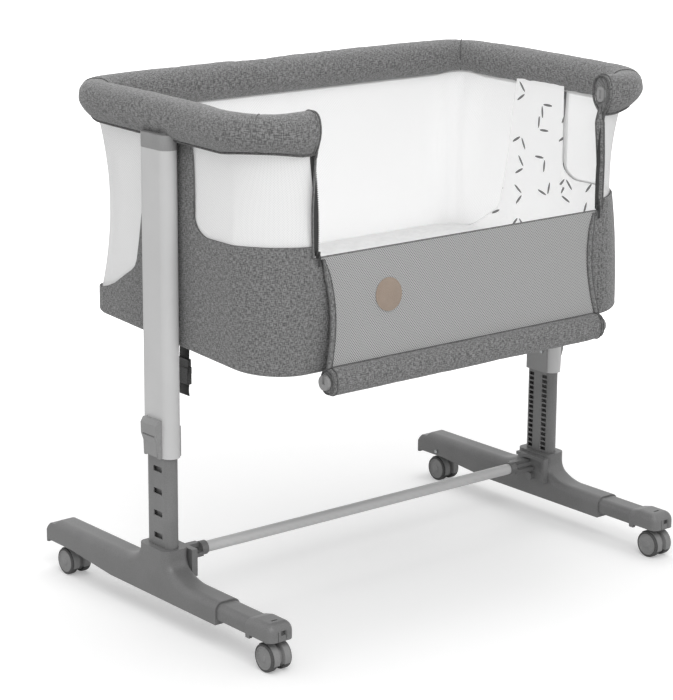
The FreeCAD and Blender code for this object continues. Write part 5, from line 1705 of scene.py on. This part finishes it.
# --------------------------- Zips ---------------------------
@dataclass
class Zips:
    """Zip tapes with teeth: two on the cot with sliders, and their halves on the side."""

    rail: PaddedRail
    side: FoldDownSide
    y: float = -239.7 * MM
    low: float = 625 * MM
    bow: float = 4 * MM
    tooth_pitch: float = 3.2 * MM
    count: int = 26
    body: str = "cot"

    # sections in mm, across and out of the tape, and across (as a share) and out of the flap
    tape_section = (
        (-0.2, 0.2), (0.3, 1.3), (1.6, 1.4), (2.6, 0.5), (5.0, 0.35), (7.6, 0.4),
        (8.0, -0.1), (7.6, -0.8), (4.0, -0.9), (0.3, -0.8),
    )
    flap_section = ((-1.0, 0.0), (-0.6, 0.8), (0.0, 1.1), (0.6, 0.8), (1.0, 0.0))

    def tooth(self) -> Piece:
        """Model one moulded tooth at the origin, pointing along +X."""
        piece = block("tooth", (0, 0, 0), (2.4, 1.6, 1.5))
        squeeze(piece, lambda face: face.normal.x > FACING, (1, 0.7, 0.6))
        return piece

    def tape(self, name: str, path: Sequence[Vector], across: Vector, out: Vector) -> Piece:
        """Build a tape along a path, with a raised cord under its teeth.

        Args:
            name: the piece's name.
            path: points along the toothed edge.
            across: direction from the toothed edge over the tape.
            out: direction that the tape faces.

        Returns:
            The tape with its teeth.
        """
        profile = self.tape_section
        rows = [
            [point + across * (a * MM) + out * (b * MM) for a, b in profile] for point in path
        ]
        gaps = reaches(path)
        band = sheet(
            name,
            rows,
            lambda i, j: (profile[j % len(profile)][0] * MM, gaps[i]),
            closed=True,
            capped=True,
        )
        band = paint(recalculate(band), ZIP_TAPE)
        model = self.tooth()
        teeth = []
        for reach in self.spaced(gaps[-1]):
            share = reach / gaps[-1] * (len(path) - 1)
            index = min(int(share), len(path) - 2)
            place = path[index].lerp(path[index + 1], share - index)
            turn = Matrix((across, out, across.cross(out))).transposed().to_4x4()
            shift = Matrix.Translation(place + across * (0.4 * MM) + out * (1.0 * MM))
            teeth.append(copied(model, shift @ turn))
        bpy.data.objects.remove(model)
        row = paint(join(teeth, f"{name}_teeth"), BUCKLE_PLASTIC)
        return join([band, row], name)

    def flap(
        self,
        name: str,
        path: Sequence[Vector],
        across: Vector,
        out: Vector,
        widths: tuple[float, float],
    ) -> Piece:
        """Build the cloth flap that covers a zip, with a cord along both edges.

        Args:
            name: the piece's name.
            path: points along the flap's middle, from its top.
            across: direction over the flap.
            out: direction that the flap faces.
            widths: its width at the top and at the foot.

        Returns:
            The flap with its cords.
        """
        rows: Grid = []
        gaps = reaches(path)
        last = len(path) - 1
        section = self.flap_section
        for index, point in enumerate(path):
            half = (widths[0] + (widths[1] - widths[0]) * index / last) / 2
            half *= 0.3 + 0.7 * eased(index / last / 0.16)
            rows.append([point + across * (half * a) + out * (b * MM) for a, b in section])
        band = sheet(name, rows, lambda i, j: (gaps[i], j * widths[0] / 4))
        band = modify(band, "SOLIDIFY", thickness=0.8 * MM, offset=1.0)
        edges = [cord("edge", [row[j] for row in rows], 1.25 * MM) for j in (0, -1)]
        return join([smooth(paint(band, MELANGE), 60), *edges], name)

    def spaced(self, length: float) -> list[float]:
        """Distances of the teeth along a tape."""
        count = int((length - 4 * MM) / self.tooth_pitch)
        return [2 * MM + self.tooth_pitch * k for k in range(count)]

    def slider(self, name: str, place: Vector, out: Vector) -> Piece:
        """Model a slider: a waisted body, a bridge and a hanging pull.

        Args:
            name: the piece's name.
            place: centre of the slider on its tape.
            out: direction that it faces.

        Returns:
            The slider with its pull.
        """
        body = block(name, place + out * (1.6 * MM), (8.4, 3.2, 10))
        squeeze(body, lambda face: face.normal.z < -FACING, (0.72, 1, 1))
        modify(body, "BEVEL", width=0.9 * MM, segments=3)
        deselect()
        bpy.ops.mesh.primitive_torus_add(
            major_segments=20,
            minor_segments=8,
            major_radius=2.1 * MM,
            minor_radius=0.7 * MM,
            location=place + out * (3.4 * MM) + UP * (1 * MM),
            rotation=(0, math.pi / 2, 0),
        )
        bridge = settle(bpy.context.object, f"{name}_bridge")
        pull = block(f"{name}_pull", place + out * (5.0 * MM) - UP * (9 * MM), (4.6, 1.1, 18))
        dent(pull, 1, rim=1.2, depth=0.25)
        modify(pull, "BEVEL", width=0.4 * MM, segments=2)
        return smooth(paint(join([body, bridge, pull], name), BUCKLE_PLASTIC))

    def cot_zip(self, name: str, way: int) -> list[Piece]:
        """Build one zip beside the opening: its tape, the flap over it and the slider.

        Args:
            name: left or right.
            way: -1 or 1, the sign of that side.

        Returns:
            The three pieces.
        """
        top = self.rail.level(self.y) - self.rail.half_height - 0.5 * MM
        out = Vector((0, -1, 0))
        path, over = [], []
        for k in range(self.count + 1):
            share = k / self.count
            x = 297.5 * MM + 9 * MM * share
            x -= self.bow * 4 * share * (1 - share)
            z = self.low + (top - self.low) * share
            path.append(Vector((way * x, self.y + 1.2 * MM, z)))
            x = (301.5 + 6.0 * eased(share * 1.6)) * MM
            z = top + 10 * MM + (self.low - 11 * MM - top) * share
            over.append(Vector((way * x, self.y + (1.5 - 1.5 * share**4) * MM, z)))
        tape = self.tape(f"{name}_zip", path, ACROSS * way, out)
        aside = Vector((0.72 * way, -0.69, 0))
        face = Vector((-0.69 * way, -0.72, 0))
        flap = self.flap(f"{name}_flap", over, aside, face, (15 * MM, 9 * MM))
        place = Vector((way * 300 * MM, self.y - 1.5 * MM, self.low + 3 * MM))
        return [tape, flap, self.slider(f"{name}_slider", place, out)]

    def side_half(self, name: str, way: int) -> list[Piece]:
        """Build the other half of one zip, down the edge of the side, and the flap over it.

        Args:
            name: left or right.
            way: -1 or 1, the sign of that side.

        Returns:
            The two pieces.
        """
        hinge, down, face, reach = self.side.frame()
        start = hinge + down * (3 * MM) + ACROSS * (way * (self.side.half_length - 0.2 * MM))
        length = reach - self.side.sleeve_height - 2 * MM
        path = []
        for k in range(self.count + 1):
            aside = ACROSS * (-way * self.side.drawn(k / self.count))
            path.append(start + down * (length * k / self.count) + aside)
        tape = self.tape(f"{name}_half", path, ACROSS * -way, face)
        over = [point + ACROSS * (-way * 4 * MM) + face * (1.6 * MM) for point in path]
        flap = self.flap(f"{name}_half_flap", over, ACROSS, face, (10 * MM, 10 * MM))
        return [tape, flap]

    def build(self) -> None:
        """Make both pairs of tapes with their flaps and the sliders, and install them."""
        tapes = [piece for name, way in SIDES for piece in self.cot_zip(name, way)]
        installed(join(tapes, "cot_zips"), self.body, ["side_zips"])
        halves = [piece for name, way in SIDES for piece in self.side_half(name, way)]
        installed(join(halves, "side_zip_halves"), self.side.body)


# ------------------------ Bed straps ------------------------
@dataclass
class BedStraps:
    """Webbing under the cot with side-release buckles."""

    x: float = 368 * MM
    y: float = 12 * MM
    width: float = 25 * MM
    top: float = 466 * MM
    drift: float = 0.8 * MM
    body: str = "cot"

    def webbing(self, way: int) -> Piece:
        """Build one strap: from the tub's floor outwards, then down into its buckle."""
        low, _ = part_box("bed_straps")
        corners = [
            (self.x - 31 * MM, self.top, 0),
            (self.x, self.top - 16 * MM, 16 * MM),
            (self.x + self.drift, low.z - 3 * MM, 0),
        ]
        line = plan_line(corners, 2 * MM)
        half, thick = self.width / 2, 0.8 * MM
        loop = ((-half, -thick), (half, -thick), (half, thick), (-half, thick))
        rows: Grid = []
        for station in line:
            centre = Vector((way * station.place.x, self.y, station.place.y))
            side = Vector((way * -station.ahead.y, 0, station.ahead.x))
            rows.append([centre + Vector((0, a, 0)) + side * b for a, b in loop])
        piece = sheet(
            "strap",
            rows,
            lambda i, j: (loop[j % 4][0], line[i].along),
            closed=True,
            capped=True,
        )
        return recalculate(piece)

    def buckle(self, way: int) -> Piece:
        """Model one buckle: a female body with its prongs' grips; its webbing tail is built apart.
        """
        _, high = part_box("strap_buckles")
        top = high.z
        x = way * (self.x + self.drift)
        body = block("buckle_body", (x, self.y, top - 29 * MM), (8.6, 29, 28))
        dent(body, 0, rim=3, depth=0.7)
        modify(body, "BEVEL", width=1.4 * MM, segments=3)
        head = block("buckle_head", (x, self.y, top - 8 * MM), (7.4, 28, 14))
        dent(head, 0, rim=2.6, depth=1.6)
        modify(head, "BEVEL", width=1.0 * MM, segments=2)
        grips = []
        for end in (-1, 1):
            place = (x, self.y + end * 15.2 * MM, top - 19 * MM)
            grip = block("buckle_grip", place, (5.4, 3.6, 12))
            grips.append(modify(grip, "BEVEL", width=1.2 * MM, segments=3))
        return smooth(paint(join([body, head, *grips], "buckle"), BUCKLE_PLASTIC))

    def tail(self, way: int) -> Piece:
        """Build the short end of webbing that hangs out of the buckle."""
        low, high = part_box("strap_buckles")
        x = way * (self.x + self.drift)
        start, stop = high.z - 42 * MM, low.z
        half, thick, count = self.width / 2, 0.9 * MM, 10
        loop = ((-half, -thick), (half, -thick), (half, thick), (-half, thick))
        rows: Grid = []
        for k in range(count + 1):
            share = k / count
            swing = 1.2 * MM * math.sin(share * 3.2)
            centre = Vector((x + way * swing, self.y, start + (stop - start) * share))
            rows.append([centre + Vector((b, a, 0)) for a, b in loop])
        piece = sheet(
            "tail", rows, lambda i, j: (loop[j % 4][0], rows[i][0].z), closed=True, capped=True
        )
        return recalculate(piece)

    def build(self) -> None:
        """Make both straps with their buckles and install them."""
        straps = [paint(self.webbing(way), WEBBING) for _, way in SIDES]
        installed(join(straps, "bed_webbing"), self.body, ["bed_straps"])
        buckles = [self.buckle(way) for _, way in SIDES]
        tails = [paint(self.tail(way), WEBBING) for _, way in SIDES]
        pair = join(buckles + tails, "bed_buckles")
        installed(pair, self.body, ["strap_buckles"])


# -------------------------- Wheels --------------------------
@dataclass
class TwinWheels:
    """Caster wheels: a rubber tread round a moulded disc with a dished face and a cap."""

    width: float = 14 * MM
    segments: int = 56

    def turned(self, profile: Sequence[tuple[float, float]], name: str, finish: Finish) -> Piece:
        """Spin a profile of x and radius round the X axis.

        Args:
            profile: corners of the section, in millimetres.
            name: the piece's name.
            finish: what it is made of.

        Returns:
            The turned piece, at the origin.
        """
        deselect()
        bpy.ops.mesh.primitive_plane_add(size=1, location=(0, 0, 0))
        piece = bpy.context.object
        piece.data.clear_geometry()
        points = [(x * MM, 0, r * MM) for x, r in profile]
        edges = [(k, k + 1) for k in range(len(points) - 1)]
        piece.data.from_pydata(points, edges, [])
        piece.name = name
        bpy.ops.object.mode_set(mode="EDIT")
        bpy.ops.mesh.select_all(action="SELECT")
        bpy.ops.mesh.spin(steps=self.segments, angle=2 * math.pi, center=(0, 0, 0), axis=(1, 0, 0))
        bpy.ops.object.mode_set(mode="OBJECT")
        return smooth(paint(recalculate(piece), finish), 32)

    def wheel(self) -> Piece:
        """Model one wheel whose outer face looks along +X."""
        half = self.width / MM / 2
        tread = ((half - 1.6, 18.8), (half - 0.6, 19.2), (half - 0.5, 21.0), (half - 1.4, 22.4))
        tread += ((half - 3.0, 23.0), (0, 23.0), (-half + 3.0, 23.0), (-half + 1.4, 22.4))
        tread += ((-half + 0.4, 20.8), (-half + 0.4, 18.8), (half - 1.6, 18.8))
        disc = ((-half, 3.2), (-half, 18.9), (half - 0.9, 18.9), (half - 0.2, 18.6), (half, 18.0))
        disc += ((half - 0.1, 17.0), (half - 1.3, 16.3), (half - 1.5, 15.3), (half - 1.2, 7.6))
        disc += ((half - 0.9, 6.6), (half - 0.2, 6.2), (half, 5.6), (half, 2.0), (half - 0.4, 0.0))
        parts = (
            self.turned(tread, "tread", TREAD_RUBBER),
            self.turned(disc, "disc", DISC_PLASTIC),
        )
        return join(parts, "wheel")

    def build(self) -> None:
        """Copy the wheel to each of its eight places."""
        model = self.wheel()
        for name, way in SIDES:
            for end in ("front", "back"):
                for which, facing in (("outer", way), ("inner", -way)):
                    body = f"{name}_{end}_{which}_wheel"
                    node = f"{name}_{end}_caster_{which}_wheel"
                    low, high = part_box(node)
                    turn = Matrix.Identity(4) if facing > 0 else Matrix.Rotation(math.pi, 4, "Z")
                    wheel = copied(model, Matrix.Translation((low + high) / 2) @ turn)
                    wheel.name = f"{body}_turned"
                    installed(wheel, body, [node])
        bpy.data.objects.remove(model)


# ------------------- CAD nodes that stay --------------------
@dataclass
class HardParts:
    """Finishes of the CAD nodes whose shapes stay as they are."""

    nodes: dict[str, Piece]

    finishes = (
        (("foot_shell", "extension_tube", "extension_nose"), FOOT_PLASTIC),
        (("caster_hood",), DISC_PLASTIC),
        (("stretcher_fork", "stretcher_bracket", "frame_brackets"), FOOT_PLASTIC),
        (("lower_post",), POST_PLASTIC),
        (("upper_tube", "stretcher_tube"), POST_COAT),
        (("post_cap", "post_guide", "height_lever", "lever_housings"), LEVER_PLASTIC),
        (("rail_end_plugs", "side_bar_connectors"), LEVER_PLASTIC),
        (("caster_pins", "screws", "latch_bolt", "rail_tube", "base_tube"), STEEL),
        (("fold_bar", "side_bar"), STEEL),
        (("base_board",), BOARD_PLASTIC),
        (("rail_padding", "tub_cloth", "side_sleeve"), MELANGE),
        (("mesh_walls",), NET),
        (("side_panel",), SPACER),
        (("mattress",), QUILT),
        (("side_zips", "bed_straps"), ZIP_TAPE),
        (("strap_buckles",), BUCKLE_PLASTIC),
        (("side_badge",), PATCH),
        (("_wheel",), DISC_PLASTIC),
    )

    def build(self) -> None:
        """Give each node the finish that its name asks for."""
        for name, node in self.nodes.items():
            for endings, finish in self.finishes:
                if any(name.endswith(ending) for ending in endings):
                    node.data.materials.clear()
                    node.data.materials.append(finish.material())
                    break
            else:
                log.warning("%s has no finish", name)


# -------------------------- Studio --------------------------
@dataclass
class Studio:
    """Pale floor, soft lamps and the camera."""

    eye: Vector = field(default_factory=lambda: Vector((-2.53297, -3.01334, 1.42176)))
    turn: float = 39.3322
    dip: float = 14.8363
    roll: float = 0.3832
    focal_pixels: float = 2399.8
    picture_height: int = 700
    sensor: float = 36.0
    floor_colour: str = "#ececec"
    pool_near: float = 0.6
    pool_far: float = 2.2
    pool_glow: float = 0.28
    world_light: float = 0.62
    aim_height: float = 0.45

    def camera(self) -> None:
        """Put a long lens at the photograph's viewing angle."""
        data = bpy.data.cameras.new("camera")
        data.sensor_width = self.sensor
        data.lens = self.sensor * self.focal_pixels / self.picture_height
        data.clip_end = 60
        camera = bpy.data.objects.new("camera", data)
        bpy.context.scene.collection.objects.link(camera)
        turn, dip = math.radians(self.turn), math.radians(self.dip)
        flat = math.cos(dip)
        ahead = Vector((math.sin(turn) * flat, math.cos(turn) * flat, -math.sin(dip)))
        camera.location = self.eye
        camera.rotation_mode = "QUATERNION"
        level = ahead.to_track_quat("-Z", "Y")
        camera.rotation_quaternion = level @ Quaternion((0, 0, 1), math.radians(self.roll))
        bpy.context.scene.camera = camera

    def floor(self) -> None:
        """Lay a wide pale floor that keeps shadows and fades to white away from the crib."""
        deselect()
        bpy.ops.mesh.primitive_plane_add(size=40, location=(0, 0, 0))
        floor = settle(bpy.context.object, "floor")
        material = bpy.data.materials.new("pale studio floor")
        material.use_nodes = True
        tree = material.node_tree
        shader = tree.nodes["Principled BSDF"]
        shader.inputs["Base Color"].default_value = linear(self.floor_colour)
        shader.inputs["Roughness"].default_value = 0.9
        shader.inputs["Specular IOR Level"].default_value = 0.1
        path = add(tree, "ShaderNodeLightPath")
        coords = add(tree, "ShaderNodeTexCoord")
        reach = vectors(tree, "LENGTH", coords.outputs["Object"])
        far = ramp(
            tree,
            reach.outputs["Value"],
            self.pool_near,
            self.pool_far,
            bottom=self.pool_glow,
            top=1.0,
        )
        seen = maths(tree, "MULTIPLY", path.outputs["Is Camera Ray"], far)
        glow = add(tree, "ShaderNodeEmission", {"Color": linear("#ffffff"), "Strength": seen})
        both = add(tree, "ShaderNodeAddShader", {0: shader, 1: glow})
        tree.links.new(both.outputs[0], tree.nodes["Material Output"].inputs["Surface"])
        floor.data.materials.append(material)

    def world(self) -> None:
        """Even light all round; the camera and reflections see white."""
        world = bpy.data.worlds.new("studio")
        bpy.context.scene.world = world
        world.use_nodes = True
        tree = world.node_tree
        path = add(tree, "ShaderNodeLightPath")
        rays = ("Is Camera Ray", "Is Glossy Ray", "Is Transmission Ray")
        seen = sums(tree, [path.outputs[ray] for ray in rays])
        strength = ramp(tree, seen, 0.0, 1.0, bottom=self.world_light, top=1.0)
        back = tree.nodes["Background"]
        back.inputs["Color"].default_value = (1, 1, 1, 1)
        tree.links.new(strength.outputs[0], back.inputs["Strength"])

    def lamp(self, name: str, place: tuple[float, float, float], size: float, power: float) -> None:
        """Hang one square soft lamp that looks at the crib.

        Args:
            name: the lamp's name.
            place: where it hangs.
            size: side of its square.
            power: watts.
        """
        data = bpy.data.lights.new(name, "AREA")
        data.size = size
        data.energy = power
        lamp = bpy.data.objects.new(name, data)
        lamp.location = place
        aim = UP * self.aim_height - Vector(place)
        lamp.rotation_mode = "QUATERNION"
        lamp.rotation_quaternion = aim.to_track_quat("-Z", "Y")
        bpy.context.scene.collection.objects.link(lamp)

    def build(self) -> None:
        """Set up camera, floor, world and lamps."""
        bpy.context.scene.view_settings.view_transform = "Standard"
        self.camera()
        self.floor()
        self.world()
        self.lamp("key", (-1.6, -2.6, 3.4), 2.4, 60)
        self.lamp("top", (0.6, 0.8, 3.6), 2.6, 40)


def main() -> None:
    """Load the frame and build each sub-assembly in order."""
    logging.basicConfig(level=logging.INFO, format="%(name)s: %(message)s")
    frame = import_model()
    rail = PaddedRail()
    side = FoldDownSide()
    Studio().build()
    HardParts(frame["nodes"]).build()
    rail.build()
    ClothTub(rail).build()
    Mattress().build()
    side.build()
    Zips(rail, side).build()
    BedStraps().build()
    TwinWheels().build()


if __name__ == "__main__":
    main()
